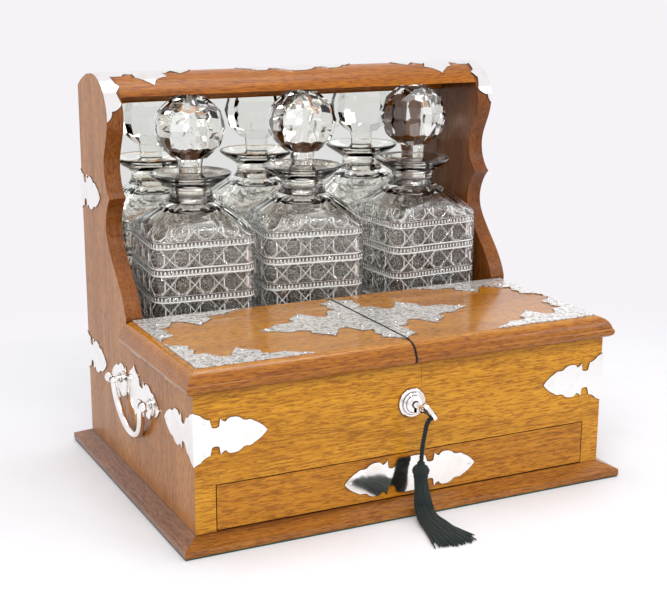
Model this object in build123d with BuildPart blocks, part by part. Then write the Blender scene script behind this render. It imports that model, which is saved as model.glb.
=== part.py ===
from build123d import *
from math import cos, hypot, radians, sin
import os

# Antique three-bottle tantalus in oak with plated strapwork. The origin is the centre of the case's
# footprint on the surface that it stands on, +X to its right seen from the front, the front faces -Y.

# ---------------------------------------------------------------------------- driving sizes, mm
decanter_width = 93.0      # the case is built round its three decanters
decanter_gap = 16.1        # between two decanters, and from the outer ones to the sides
front_depth = 155.3        # from the front to the lids' straight back edge
well_room = 20.9           # depth of the decanters' well beyond a decanter's width
case_height = 112.2        # from the plinth to the seat of the lids
board = 14.3               # sides and front
touch = 0.3                # gap between a moving or soft piece and what it lies against
seat = 0.2                 # between the rounded crown and the straps bent over it

baize_thickness = 1.6
baize_inset = 0.6
plinth_height = 11.5
plinth_overhang = 14.0
plinth_edge = 5.2          # upright outer edge of the plinth moulding
plinth_round = 2.2

lid_thickness = 17.4
lid_overhang = 7.1
lid_flat_inset = 12.4      # from the nose to the flat of the top
lid_nose_height = 6.4
lid_quirk = 1.5
lid_seam = 0.5
lid_chamfer = 2.0

drawer_guide = 2.5         # strips beside the drawer
drawer_height = 36.2
drawer_gap = 0.8
drawer_lift = 1.1          # from the base board to the drawer front's lower edge
drawer_front_thickness = 12.0
drawer_wall = 6.0
drawer_bottom_thickness = 3.0
drawer_length = 232.0
drawer_wall_height = 33.0

dust_board_thickness = 5.0
partition_thickness = 6.2
partition_setback = 3.0
divider_thickness = 8.0
divider_front_setback = 15.2
well_floor_drop = 38.3     # from the lids' seat to the top of the decanters' floor
well_floor_thickness = 6.0
bearer = 9.0
well_fillet_height = 16.0
well_fillet_width = 5.0
well_fillet_shift = 0.7

back_board_thickness = 6.6
mirror_thickness = 3.0
rail_height = 11.5
rail_thickness = 6.0

stopper_headroom = 0.5
metal = 0.9                # plated strapwork

corner_mount_height = 76.4  # centre line of the front corner mounts, above the base board
handle_height = 75.9
back_mount_low = 76.9
back_mount_high = 224.9

lock_drop = 32.8           # below the lids' seat
lock_plate_radius = 12.0
lock_step_radius = 9.3
lock_face_radius = 7.2
lock_plate_rise = 2.2
lock_step_rise = 4.4
lock_face_rise = 6.2
lock_barrel_radius = 6.6
keyhole_radius = 3.1
keyhole_slot_width = 2.6
keyhole_slot_drop = 6.6
lock_case_width = 58.0
lock_case_drop = 14.0
lock_case_rise = 26.5
lock_case_depth = 14.0
lock_wall = 1.2

key_turned = 35.0          # degrees from the keyhole's slot, as it stands
key_shank_radius = 2.4
key_reach = 28.0           # from the front board to the bow's centre
bow_half_width = 9.4
bow_half_length = 6.6
bow_wire = 1.5
bit_length = 5.8
bit_width = 5.0

eye_offset = 7.8           # of each lid's link eye from the seam
eye_thickness = 2.5
eye_depth = 10.4
eye_drop = 19.6
eye_window = (6.4, 5.6)
bolt_size = (5.0, 4.0)
bolt_reach = 3.9

hinge_knuckle_radius = 2.0
hinge_pin_radius = 1.0
hinge_pin_clearance = 0.08
hinge_leaf = 1.2
hinge_leaf_width = 12.0
hinge_length = 26.0
hinge_from_front = 36.6
hinge_from_back = 34.7      # from the lids' back edge
hinge_pocket_clearance = 0.4

bail_radius = 3.1
bail_half_span = 33.0
bail_drop = 37.0
bail_lean = 6.0            # degrees towards the side
bail_stand = 8.0           # from the side's face to the bail's pivot
bail_pin_radius = 1.6
bail_pin_clearance = 0.09
post_at = 38.6
eye_radius = 3.9
post_radius = 2.6
ball_radius = 4.3
ball_at = 45.4
handle_centre_y = 1.5

decanter_corner = 13.0
decanter_wall = 5.0
decanter_base = 8.0
shoulder_rise = 141.6      # of the sloped shoulder's top above the decanter's foot
shoulder_radius = 27.0
shoulder_slope = 0.667     # fall of the shoulder for each unit outwards
shoulder_reach = 70.0      # beyond the body's corners
neck_radius = 18.6
neck_flare = 7.4           # from the shoulder's top to the straight neck
neck_straight = 4.5
neck_bore = 10.6
lip_height = 15.7          # from the straight neck to the lip's top
lip_radius = 35.4
lip_thickness = 3.0
mouth_depth = 6.7          # of the mouth below the lip's top
band_groove = 0.9
band_width = 4.4
band_spacing = 23.2
band_rows = 5
lowest_band = 21.6         # centre line of the lowest cut band above the foot
decanter_setback = 1.3     # behind the well's middle
# (shift to the right of its even place, turn in degrees) of each decanter as it stands
decanter_stance = {"left": (2.0, -5.0), "middle": (-0.5, -8.0), "right": (4.1, 4.0)}
ball_stopper_radius = 28.9
facet_rows = ((16, 12, 0), (47, 12, 15), (72, 6, 0))
stopper_stem = 16.2        # from the decanter's mouth to the ball's underside
peg_length = 22.0
peg_taper = 0.9
peg_clearance = 0.3
stopper_collar = 12.8
stopper_neck = 10.4

lock_pin_radius = 1.5
lock_pin_travel = 6.0
lock_pin_head = 4.2
lock_pin_x = -60.0
lock_pin_setback = 23.6     # from the front
catch_block = (16.0, 13.0, 14.0)
catch_slot_clearance = 0.3
catch_slot_spare = 1.5
guide_height = 16.0
spring_width = 60.0
spring_leaf = 1.2
spring_bow = 11.0

cord_diameter = 4.0
cord_route = ((5.3, -162.6, 91.1), (-1.3, -162.6, 86.5), (-1.9, -159.6, 75.0), (0.3, -150.9, 56.5),
              (0.3, -150.9, 35.0))
tassel_top = 48.0
tassel_head_radius = 6.9
tassel_head_height = 14.4
tassel_at = (0.3, -150.9)

# ---------------------------------------------------------------------------- places worked out
case_width = 3 * decanter_width + 4 * decanter_gap + 2 * board
case_depth = front_depth + decanter_width + well_room
half_width = case_width / 2
front_y = -case_depth / 2
back_y = case_depth / 2
base_top = baize_thickness + plinth_height
case_top = base_top + case_height
lid_bottom = case_top + touch
lid_top = lid_bottom + lid_thickness
lid_back_y = front_y + front_depth
lid_nose_x = half_width + lid_overhang
lid_nose_y = front_y - lid_overhang
inner_x = half_width - board
opening_top = base_top + drawer_lift + drawer_height + drawer_gap
dust_top = opening_top + dust_board_thickness
partition_y = lid_back_y - partition_setback
well_floor = case_top - well_floor_drop
back_board_y = back_y - back_board_thickness
mirror_y = back_board_y - touch
mirror_front = mirror_y - mirror_thickness
decanter_y = (partition_y + mirror_front) / 2 + decanter_setback
neck_rise = shoulder_rise + neck_flare
neck_top = neck_rise + neck_straight
lip_rise = neck_top + lip_height
mouth_rise = lip_rise - mouth_depth
stopper_ball_rise = mouth_rise + stopper_stem + ball_stopper_radius
roof_z = well_floor + stopper_ball_rise + ball_stopper_radius + stopper_headroom
opening_height = roof_z - lid_top
lock_z = case_top - lock_drop
pivot_x = half_width + hinge_knuckle_radius + 0.2
pivot_z = case_top + touch / 2
hinge_places = (front_y + hinge_from_front, lid_back_y - hinge_from_back)
drawer_opening = inner_x - drawer_guide
drawer_half = drawer_opening - drawer_gap
drawer_top = base_top + drawer_lift + drawer_height
upright_y = lid_back_y + 2 * touch
lock_pin_at = (lock_pin_x, front_y + lock_pin_setback)
decanter_places = {
    name: (step * (decanter_width + decanter_gap) + shift, turn)
    for step, (name, (shift, turn)) in zip((-1, 0, 1), decanter_stance.items())
}

# Scroll-cut front edge of the uprights: (depth from the back, height above the lids' top)
foot = (back_y - upright_y, 3.0)
cusp = (80.6, 0.539 * opening_height)
low_belly = ((99.0, 26.0), (77.5, 49.0), (67.0, 68.0), (71.0, 86.0))
high_belly = ((70.4, 0.605 * opening_height), (67.6, 0.696 * opening_height), (74.6, 0.793 * opening_height),
              (81.0, 0.8785 * opening_height))
crown_radius = 40.0
crown_turn = 66.7          # degrees of the crown's round, from the ridge down to the belly
ridge = (43.0, opening_height + 17.3)
crown_back = ((22.6, opening_height + 14.6), (0, opening_height + 4.5))


# ---------------------------------------------------------------------------- helpers
def board_between(x, y, z):
    """A plain board that fills the span between the two values given on each axis."""
    with BuildPart() as made:
        with BuildSketch(Plane.XY.offset(z[0])):
            with Locations(((x[0] + x[1]) / 2, (y[0] + y[1]) / 2)):
                Rectangle(x[1] - x[0], y[1] - y[0])
        extrude(amount=z[1] - z[0])
    return made.part


def joined(*pieces):
    """Pieces kept as separate solids of one node, or fused where they meet."""
    with BuildPart() as made:
        for piece in pieces:
            add(piece)
    return made.part


def cut(piece, *tools):
    with BuildPart() as made:
        add(piece)
        for tool in tools:
            add(tool, mode=Mode.SUBTRACT)
    return made.part


def mirrored(piece):
    with BuildPart() as made:
        mirror(piece, about=Plane.YZ)
    return made.part


def finish(piece, name):
    piece.label = name
    export_step(piece, f"parts/{name}.step")


def draw_run(points):
    """Lines and arcs through (u, v, rise) points. The rise bulges the stretch that arrives there."""
    for (u0, v0, _), (u1, v1, rise) in zip(points, points[1:]):
        if rise:
            length = hypot(u1 - u0, v1 - v0)
            middle = ((u0 + u1) / 2 - (v1 - v0) / length * rise, (v0 + v1) / 2 + (u1 - u0) / length * rise)
            ThreePointArc((u0, v0), middle, (u1, v1))
        else:
            Line((u0, v0), (u1, v1))


def mirrored_run(points):
    """The same run on the other side of v = 0, drawn back to its start."""
    back = []
    rises = [0] + [p[2] for p in points[:0:-1]]
    for (u, v, _), rise in zip(points[::-1], rises):
        back.append((u, -v, rise))
    return back


# ---------------------------------------------------------------------------- base and plinth
def make_plinth():
    """Four mitred mouldings with a splayed top round the base board."""
    outer_x = half_width + plinth_overhang
    outer_y = back_y + plinth_overhang

    def splayed(reach, inner):
        top = plinth_height
        return ((-inner, top), (-reach, plinth_edge), (-reach, 0),
                (reach, 0), (reach, plinth_edge), (inner, top))

    with BuildPart() as hipped:
        with BuildSketch(Plane.YZ.offset(-outer_x)):
            with BuildLine():
                Polyline(*[(y, z + baize_thickness) for y, z in splayed(outer_y, back_y)], close=True)
            make_face()
            noses = [v for v in vertices() if abs(abs(v.Y) - outer_y) < 0.01 and v.Z > baize_thickness + 1]
            fillet(noses, plinth_round)
        extrude(amount=2 * outer_x)
        with BuildSketch(Plane.XZ.offset(-outer_y)):
            with BuildLine():
                Polyline(*[(x, z + baize_thickness) for x, z in splayed(outer_x, half_width)], close=True)
            make_face()
            noses = [v for v in vertices() if abs(abs(v.X) - outer_x) < 0.01 and v.Z > baize_thickness + 1]
            fillet(noses, plinth_round)
        extrude(amount=2 * outer_y, mode=Mode.INTERSECT)
        inside = board_between((-half_width, half_width), (front_y, back_y), (0, base_top + 1))
        add(inside, mode=Mode.SUBTRACT)

    def mitre(corners):
        with BuildPart() as wedge:
            with BuildSketch():
                with BuildLine():
                    Polyline(*corners, close=True)
                make_face()
            extrude(amount=base_top + 1)
        with BuildPart() as piece:
            add(hipped.part)
            add(wedge.part, mode=Mode.INTERSECT)
        return piece.part

    over = plinth_overhang + 1
    ax, ay = half_width, back_y
    bx, by = half_width + over, back_y + over
    finish(mitre(((-bx, -by), (bx, -by), (ax, -ay), (-ax, -ay))), "plinth_front")
    finish(mitre(((-bx, by), (-ax, ay), (ax, ay), (bx, by))), "plinth_back")
    finish(mitre(((-bx, -by), (-ax, -ay), (-ax, ay), (-bx, by))), "plinth_left")
    finish(mitre(((bx, -by), (bx, by), (ax, ay), (ax, -ay))), "plinth_right")
    finish(board_between((-ax, ax), (-ay, ay), (baize_thickness, base_top)), "base_board")
    pad_x, pad_y = outer_x - baize_inset, outer_y - baize_inset
    finish(board_between((-pad_x, pad_x), (-pad_y, pad_y), (0, baize_thickness)), "baize_pad")


# ---------------------------------------------------------------------------- uprights and roof
def upright_point(point):
    """(depth from the back, height above the lids' top) as (y, z)."""
    return back_y - point[0], lid_top + point[1]


def crown_point(turn):
    """Point of the crown's round at that many degrees in front of the ridge."""
    angle = radians(turn)
    return upright_point((ridge[0] + crown_radius * sin(angle), ridge[1] + crown_radius * (cos(angle) - 1)))


def crown_wire():
    """The upright's edge from the cusp over the upper belly and the crown to the back."""
    with BuildLine() as line:
        Spline(upright_point(cusp), *[upright_point(p) for p in high_belly], crown_point(crown_turn))
        ThreePointArc(crown_point(crown_turn), crown_point(crown_turn / 2), upright_point(ridge))
        ThreePointArc(upright_point(ridge), *[upright_point(p) for p in crown_back])
    return line.wires()[0]


def upright_edges():
    """Outline of a side board as (y, z), with its scrolled front edge and rounded crown."""
    with BuildLine() as outline:
        Polyline(upright_point(crown_back[-1]), (back_y, base_top), (front_y, base_top),
                 (front_y, case_top), (upright_y, case_top), upright_point(foot))
        Spline(upright_point(foot), *[upright_point(p) for p in low_belly], upright_point(cusp))
        add(crown_wire())
    return outline.edges()


def make_sides():
    with BuildPart() as left:
        with BuildSketch(Plane.YZ.offset(-half_width)):
            make_face(upright_edges())
        extrude(amount=board)
        mitre_tool = Plane.XY.offset(base_top - 1)
        with BuildSketch(mitre_tool):
            with BuildLine():
                Polyline((-half_width, front_y), (-inner_x, front_y + board), (-inner_x, front_y), close=True)
            make_face()
        extrude(amount=case_height + 2, mode=Mode.SUBTRACT)
        for y in hinge_places:
            add(leaf_recess(y), mode=Mode.SUBTRACT)
    finish(left.part, "left_side")
    finish(mirrored(left.part), "right_side")


def make_roof():
    """The rounded board between the uprights, flush with their crowns."""
    with BuildPart() as roof:
        with BuildSketch(Plane.YZ.offset(-inner_x)):
            make_face(upright_edges())
        extrude(amount=2 * inner_x)
        add(board_between((-half_width, half_width), (front_y, back_y + 1), (0, roof_z)), mode=Mode.SUBTRACT)
    finish(roof.part, "roof_board")


def crown_skin():
    """The sheet of metal that follows the crown from side to side."""
    crown_line = crown_wire()
    first, steps = 0.25, 48

    def outside(distance):
        spots = []
        for step in range(steps + 1):
            along = first + (1 - first) * step / steps
            spot, way = crown_line @ along, crown_line % along
            spots.append((spot.X - way.Y * distance, spot.Y + way.X * distance))
        return spots

    inner, outer = outside(seat), outside(seat + metal)
    with BuildPart() as skin:
        with BuildSketch(Plane.YZ.offset(-half_width)):
            with BuildLine():
                Spline(*inner)
                Line(inner[-1], outer[-1])
                Spline(*outer)
                Line(outer[0], inner[0])
            make_face()
        extrude(amount=case_width)
        add(board_between((-case_width, case_width), (back_y, back_y + 9), (0, roof_z + case_height)),
            mode=Mode.SUBTRACT)
    return skin.part


def make_roof_mounts():
    """Plated straps on the roof: one at each end that runs down the upright's edge, one in the middle."""
    skin = crown_skin()
    ridge_y = back_y - ridge[0]
    lower_z = roof_z - 21.0
    # (distance from the case's outer face, depth in front of the ridge, rise) of the scalloped edges
    end_edge = ((0, 0, 0), (0, 21.6, 0), (12, 25.2, 0), (10.6, 13.3, 0), (22, 13.0, 0), (24.4, 10.6, 0),
                (31.4, 11.0, 1.8), (32.4, 16.2, 0), (40, 21.0, 0.6), (46.7, 25.8, 0), (51, 20.0, 0.8),
                (60, 16.2, 0.8), (57, 10.0, 0), (67.6, 5.0, -1), (74.3, 11.2, 0), (83, 6.4, 0), (88, 0, 0))
    middle_edge = ((-57, 0, 0), (-50, 4.6, 0), (-44, 8.0, 0.8), (-30, 10.6, -1.2), (-25, 7.2, 0),
                   (-17, 9.2, 0.8), (-5, 13.6, -0.8), (5, 13.6, 0), (17, 9.2, -0.8), (25, 7.2, 0.8),
                   (30, 10.6, 0), (44, 8.0, -1.2), (50, 4.6, 0.8), (57, 0, 0))

    def plan_prism(points, sense, start):
        """The outline and its image behind the ridge, as an upright prism."""
        with BuildPart() as prism:
            with BuildSketch(Plane.XY.offset(lower_z)):
                with BuildLine():
                    draw_run([(start + sense * u, ridge_y - ahead, sense * rise)
                              for u, ahead, rise in points])
                    Line((start + sense * points[-1][0], ridge_y), (start + sense * points[0][0], ridge_y))
                make_face()
                mirror(about=Plane.XZ.offset(-ridge_y))
            extrude(amount=80)
        return prism.part

    def strip_prism():
        """The end strap's lower part, seen from the front: it narrows to a tip on the upright's edge."""
        front = ((0, -19.0, 0), (4.4, -10.6, -1.2), (13.6, -4.8, -1.4), (12, -0.4, 0), (10.8, 4.2, 0),
                 (15, 8.6, 0), (12, 10.6, 0), (0, 12.6, 0))
        with BuildPart() as prism:
            with BuildSketch(Plane.XZ.offset(-72)):
                with BuildLine():
                    draw_run([(-half_width + u, roof_z + v, rise) for u, v, rise in front])
                    Line((-half_width, roof_z + front[-1][1]), (-half_width, roof_z + front[0][1]))
                make_face()
            extrude(amount=30)
        return prism.part

    def on_crown(*prisms):
        return joined(*[prism & skin for prism in prisms])

    left = on_crown(plan_prism(end_edge, 1, -half_width), strip_prism())
    middle = on_crown(plan_prism(middle_edge, 1, 0))
    finish(joined(left, middle, mirrored(left)), "roof_mounts")


# ---------------------------------------------------------------------------- case
def make_front_board():
    """One board, mitred to the sides, with the drawer's opening and the hole of the lock's barrel."""
    with BuildPart() as front:
        with BuildSketch(Plane.XY.offset(base_top)):
            with BuildLine():
                Polyline((-half_width, front_y), (half_width, front_y), (inner_x, front_y + board),
                         (-inner_x, front_y + board), close=True)
            make_face()
        extrude(amount=case_height)
        opening = board_between((-drawer_opening, drawer_opening), (front_y - 1, 0),
                                (base_top - 1, opening_top))
        add(opening, mode=Mode.SUBTRACT)
        with BuildSketch(Plane.XZ.offset(-front_y)):
            with Locations((0, lock_z)):
                Circle(lock_barrel_radius + touch)
        extrude(amount=-board, mode=Mode.SUBTRACT)
    finish(front.part, "front_board")


def make_case_boards():
    y_in = front_y + board
    dust = cut(board_between((-inner_x, inner_x), (y_in, back_board_y), (opening_top, dust_top)), pin_hole())
    finish(dust, "dust_board")
    finish(board_between((-inner_x, inner_x), (back_board_y, back_y), (base_top, roof_z)), "back_board")
    partition = board_between((-inner_x, inner_x), (partition_y - partition_thickness, partition_y),
                              (dust_top, case_top))
    finish(partition, "partition")
    half = divider_thickness / 2
    divider = board_between((-half, half), (y_in + divider_front_setback, partition_y - partition_thickness),
                            (dust_top, case_top))
    finish(divider, "compartment_divider")
    finish(board_between((-inner_x, inner_x), (partition_y, back_board_y),
                         (well_floor - well_floor_thickness, well_floor)), "well_floor")
    under = well_floor - well_floor_thickness
    left = board_between((-inner_x, -inner_x + bearer), (partition_y, back_board_y), (under - bearer, under))
    bearers = joined(left, mirrored(left))
    spots = [place[0] for place in decanter_places.values()]
    fillets = []
    for a, b in zip(spots, spots[1:]):
        middle = (a + b) / 2 - well_fillet_shift
        fillets.append(board_between((middle - well_fillet_width / 2, middle + well_fillet_width / 2),
                                     (partition_y, mirror_y - mirror_thickness),
                                     (well_floor, well_floor + well_fillet_height)))
    finish(joined(*fillets), "well_fillets")
    finish(board_between((-inner_x + touch, inner_x - touch), (mirror_y - mirror_thickness, mirror_y),
                         (well_floor, roof_z - touch)), "mirror_plate")
    with BuildPart() as rail:
        add(board_between((-inner_x, inner_x),
                          (mirror_y - mirror_thickness - rail_thickness, mirror_y - mirror_thickness),
                          (roof_z - rail_height, roof_z)))
        lower_edge = rail.edges().filter_by(Axis.X).group_by(Axis.Z)[0].sort_by(Axis.Y)[0]
        chamfer(lower_edge, rail_thickness / 3)
    finish(rail.part, "mirror_rail")
    guide = board_between((-inner_x, -drawer_opening), (y_in, back_board_y),
                          (base_top, base_top + guide_height))
    finish(joined(guide, mirrored(guide), bearers), "inner_strips")


# ---------------------------------------------------------------------------- strapwork
# Half outline of a strap's leaf: (distance along it, half width, rise), from its waist to its tip.
leaf_run = ((14.2, 8.0, 0), (20.2, 8.2, -0.9), (21.2, 14.6, 0), (25.6, 11.4, -0.8), (31.0, 14.2, 1.0),
            (39.6, 10.8, 1.1), (42.6, 10.2, 0), (48.6, 8.6, 0.8), (59.5, 0, 0.9))
# Quarter of a lid's mount from the tip along the side to the tip along the front, by its two arms.
quarter_run = ((0, 72, 0), (5, 63.4, -0.8), (15.6, 57.8, 0), (12.0, 50.6, 0), (15.4, 43.8, 0),
               (11.4, 33.6, -1.0), (21.6, 32.6, 0), (25.0, 24.4, -0.8), (32.4, 18.6, -2.2),
               (39.6, 26.4, -1.6), (47.4, 38.0, 0),
               (54.0, 29.4, -1.0), (61.4, 22.6, 0), (59.4, 16.8, 0), (67.0, 12.0, -0.8), (78.6, 12.6, 0),
               (86.0, 5.6, -0.8), (97, 0, 0))


def leaf_plate(plane, root_run, reach):
    """One leaf on a face, from the root's outline to a tip at that reach."""
    shift = reach - leaf_run[-1][0]
    run = list(root_run) + [(u + shift, v, rise) for u, v, rise in leaf_run]
    with BuildPart() as plate:
        with BuildSketch(plane):
            with BuildLine():
                draw_run(run)
                draw_run(mirrored_run(run))
                Line((run[0][0], -run[0][1]), (run[0][0], run[0][1]))
            make_face()
        extrude(amount=metal)
    return plate.part


def face_plane(origin, along, outward):
    return Plane(origin=origin, x_dir=along, z_dir=outward)


def make_corner_mounts():
    """Straps that clasp the front corners, with a leaf on the front and one on the side."""
    z = base_top + corner_mount_height
    root = ((-metal, 21.2, 0), (5.0, 18.6, 0), (12.6, 14.2, -0.9))
    front = leaf_plate(face_plane((-half_width, front_y, z), (1, 0, 0), (0, -1, 0)), root, 59.5)
    side = leaf_plate(face_plane((-half_width, front_y, z), (0, 1, 0), (-1, 0, 0)), root, 62.6)
    left = joined(front, side)
    finish(joined(left, mirrored(left)), "corner_mounts")


def make_back_mounts():
    """Smaller straps that clasp the back edges of the sides, two at each side."""
    straps = []
    for height in (back_mount_low, back_mount_high):
        z = base_top + height
        root = ((-metal, 17.6, 0), (3.0, 15.6, 0), (7.6, 14.0, -0.4))
        side = leaf_plate(face_plane((-half_width, back_y, z), (0, -1, 0), (-1, 0, 0)), root, 55.5)
        back = leaf_plate(face_plane((-half_width, back_y, z), (1, 0, 0), (0, 1, 0)), root, 55.5)
        strap = joined(side, back)
        straps += [strap, mirrored(strap)]
    finish(joined(*straps), "back_edge_mounts")


def drawer_plate():
    """Long strap at the drawer's middle: a bowed block between two leaves."""
    half_block = 14.0
    block = ((-half_block, 14.4, 0), (half_block, 14.4, 0.9))
    z = base_top + drawer_lift + drawer_height / 2
    plane = face_plane((0, front_y, z), (1, 0, 0), (0, -1, 0))
    root = ((0, 14.8, 0), (10.4, 14.4, 0.3), (13.4, 11.4, 0.9))
    with BuildPart() as plate:
        add(leaf_plate(plane, root, 60.2))
        mirror(about=Plane.YZ)
    return plate.part


def quarter_edges(corner, sense_u, sense_v):
    """A quarter of strapwork in plan at that corner, its arms along X and Y in those senses."""
    with BuildLine() as outline:
        points = [(corner[0] + sense_u * u, corner[1] + sense_v * v, sense_u * sense_v * rise)
                  for u, v, rise in quarter_run]
        draw_run(points)
        Polyline(points[-1][:2], corner, points[0][:2])
    return outline.edges()


def make_lid_mounts(side):
    """Straps on a lid: its two outer corners, and its half of the cross on the seam."""
    outer = lid_nose_x - lid_flat_inset
    middle_y = (lid_nose_y + lid_back_y) / 2
    front_corner = lid_nose_y + lid_flat_inset
    back_corner = lid_back_y - touch
    with BuildPart() as straps:
        with BuildSketch(Plane.XY.offset(lid_top)):
            make_face(quarter_edges((-outer, front_corner), 1, 1))
        extrude(amount=metal)
        with BuildSketch(Plane.XY.offset(lid_top)):
            make_face(quarter_edges((-outer, back_corner), 1, -1))
        extrude(amount=metal)
        with BuildSketch(Plane.XY.offset(lid_top)):
            make_face(quarter_edges((-lid_seam, middle_y + 5), -1, 1))
            make_face(quarter_edges((-lid_seam, middle_y + 5), -1, -1))
        extrude(amount=metal)
        low, high = lid_nose_y + lid_flat_inset, lid_back_y
        keep = board_between((-lid_nose_x, 0), (low, high), (lid_top, lid_top + 2 * metal))
        add(keep, mode=Mode.INTERSECT)
    finish(straps.part if side == "left" else mirrored(straps.part), f"{side}_lid_mounts")


# ---------------------------------------------------------------------------- lids and their hinges
def leaf_recess(y):
    """Recess for a hinge's fixed leaf in the left side's top edge."""
    grown = hinge_length / 2 + 0.1
    return board_between((-half_width - 1, -pivot_x + hinge_leaf_width + 0.1), (y - grown, y + grown),
                         (case_top - hinge_leaf, case_top + 1))


def make_hinges(side):
    """Two butt hinges: fixed leaf with two knuckles and the pin, lid's leaf with the middle knuckle."""
    third = hinge_length / 3
    fixed, moving = [], []
    for y in hinge_places:
        start = y - hinge_length / 2

        def knuckle(first, last, bore):
            with BuildPart() as made:
                with BuildSketch(Plane.XZ.offset(-(start + first))):
                    with Locations((-pivot_x, pivot_z)):
                        Circle(hinge_knuckle_radius)
                        if bore:
                            Circle(bore, mode=Mode.SUBTRACT)
                extrude(amount=-(last - first))
            return made.part

        def leaf(z):
            first, last = start, start + hinge_length
            return board_between((-pivot_x, -pivot_x + hinge_leaf_width), (first, last), z)

        # Around the pin the leaves are cut clear of the other leaf's knuckles.
        def clear(first, last):
            reach = hinge_knuckle_radius + 0.15
            return board_between((-pivot_x - reach, -pivot_x + reach), (start + first, start + last),
                                 (pivot_z - reach, pivot_z + reach))

        gap = 0.2
        core = hinge_pin_radius + hinge_pin_clearance
        with BuildPart() as case_leaf:
            add(leaf((case_top - hinge_leaf, case_top)))
            add(clear(third - gap, 2 * third + gap), mode=Mode.SUBTRACT)
            add(knuckle(0, third - gap, 0))
            add(knuckle(2 * third + gap, 3 * third, 0))
            with BuildSketch(Plane.XZ.offset(-start)):
                with Locations((-pivot_x, pivot_z)):
                    Circle(hinge_pin_radius)
            extrude(amount=-hinge_length)
        with BuildPart() as lid_leaf:
            add(leaf((lid_bottom, lid_bottom + hinge_leaf)))
            add(clear(0, third), mode=Mode.SUBTRACT)
            add(clear(2 * third, 3 * third), mode=Mode.SUBTRACT)
            add(knuckle(third, 2 * third, 0))
            with BuildSketch(Plane.XZ.offset(-start)):
                with Locations((-pivot_x, pivot_z)):
                    Circle(core)
            extrude(amount=-hinge_length, mode=Mode.SUBTRACT)
        fixed.append(case_leaf.part)
        moving.append(lid_leaf.part)
    for pieces, name in ((fixed, f"{side}_case_hinges"), (moving, f"{side}_lid_hinges")):
        pair = joined(*pieces)
        finish(pair if side == "left" else mirrored(pair), name)


def lid_profile(nose, sense):
    """Moulded edge of a lid in section, from the flat of its top to its seat: ovolo, quirk and nose."""
    flat = nose + lid_flat_inset
    ledge = lid_bottom + lid_nose_height + 1.0
    Line((flat, lid_top), (nose + lid_flat_inset * 0.86, lid_top - 0.5))
    ThreePointArc((nose + lid_flat_inset * 0.86, lid_top - 0.5),
                  (nose + lid_flat_inset * 0.36, lid_top - 4.0), (nose + lid_quirk, ledge))
    Line((nose + lid_quirk, ledge), (nose + lid_quirk * 0.5, ledge - 0.6))
    ThreePointArc((nose + lid_quirk * 0.5, ledge - 0.6), (nose, ledge - 3.4), (nose + 1.2, lid_bottom + 1.4))
    Line((nose + 1.2, lid_bottom + 1.4), (nose + 1.2 + lid_chamfer, lid_bottom))


def make_lid(side):
    """The left lid, or its mirror image: moulded at the front and at the outer side, mitred between."""
    seam_x = -lid_seam / 2
    with BuildPart() as lid:
        with BuildSketch(Plane.YZ.offset(-lid_nose_x - 1)):
            with BuildLine():
                lid_profile(lid_nose_y, 1)
                end = (lid_nose_y + 1.2 + lid_chamfer, lid_bottom)
                Polyline(end, (lid_back_y, lid_bottom), (lid_back_y, lid_top),
                         (lid_nose_y + lid_flat_inset, lid_top))
            make_face()
        extrude(amount=lid_nose_x + 1)
        with BuildSketch(Plane.XZ.offset(-lid_back_y - 1)):
            with BuildLine():
                lid_profile(-lid_nose_x, 1)
                end = (-lid_nose_x + 1.2 + lid_chamfer, lid_bottom)
                Polyline(end, (seam_x, lid_bottom), (seam_x, lid_top),
                         (-lid_nose_x + lid_flat_inset, lid_top))
            make_face()
        extrude(amount=lid_back_y - lid_nose_y + 2, mode=Mode.INTERSECT)
        for y in hinge_places:
            half = hinge_length / 2 + hinge_pocket_clearance
            reach = hinge_knuckle_radius + hinge_pocket_clearance
            add(board_between((-pivot_x - reach, -half_width + 0.5), (y - half, y + half),
                              (lid_bottom - 1, pivot_z + reach)), mode=Mode.SUBTRACT)
            add(board_between((-half_width, -pivot_x + hinge_leaf_width + 0.1), (y - half, y + half),
                              (lid_bottom - 1, lid_bottom + hinge_leaf)), mode=Mode.SUBTRACT)
    finish(lid.part if side == "left" else mirrored(lid.part), f"{side}_lid")


def make_lid_link(side):
    """The eye under a lid that drops into the lock: its window takes the bolt."""
    y_mid = front_y + board + touch + lock_wall + 0.5 + eye_depth / 2
    low = lid_bottom - eye_drop
    window_z = low + 1.9
    with BuildPart() as link:
        add(board_between((-eye_offset - 4.4, -eye_offset + 4.4),
                          (y_mid - eye_depth / 2, y_mid + eye_depth / 2), (lid_bottom - 1.2, lid_bottom)))
        add(board_between((-eye_offset - eye_thickness / 2, -eye_offset + eye_thickness / 2),
                          (y_mid - eye_depth / 2, y_mid + eye_depth / 2), (low, lid_bottom - 1.0)))
        lower = link.edges().filter_by(Axis.X).group_by(Axis.Z)[0]
        fillet(lower, 1.6)
        add(board_between((-eye_offset - eye_thickness, -eye_offset + eye_thickness),
                          (y_mid - eye_window[0] / 2, y_mid + eye_window[0] / 2),
                          (window_z, window_z + eye_window[1])), mode=Mode.SUBTRACT)
    finish(link.part if side == "left" else mirrored(link.part), f"{side}_lid_link")


# ---------------------------------------------------------------------------- lock and key
def keyhole(depth_from, depth_to, grown=0.0):
    """Round hole with its slot below, as a cutting prism between two values of y."""
    with BuildPart() as hole:
        with BuildSketch(Plane.XZ.offset(-depth_to)):
            with Locations((0, lock_z)):
                Circle(keyhole_radius + grown)
            with Locations((0, lock_z - (keyhole_slot_drop + grown) / 2)):
                Rectangle(keyhole_slot_width + 2 * grown, keyhole_slot_drop + grown)
        extrude(amount=depth_to - depth_from)
    return hole.part


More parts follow.
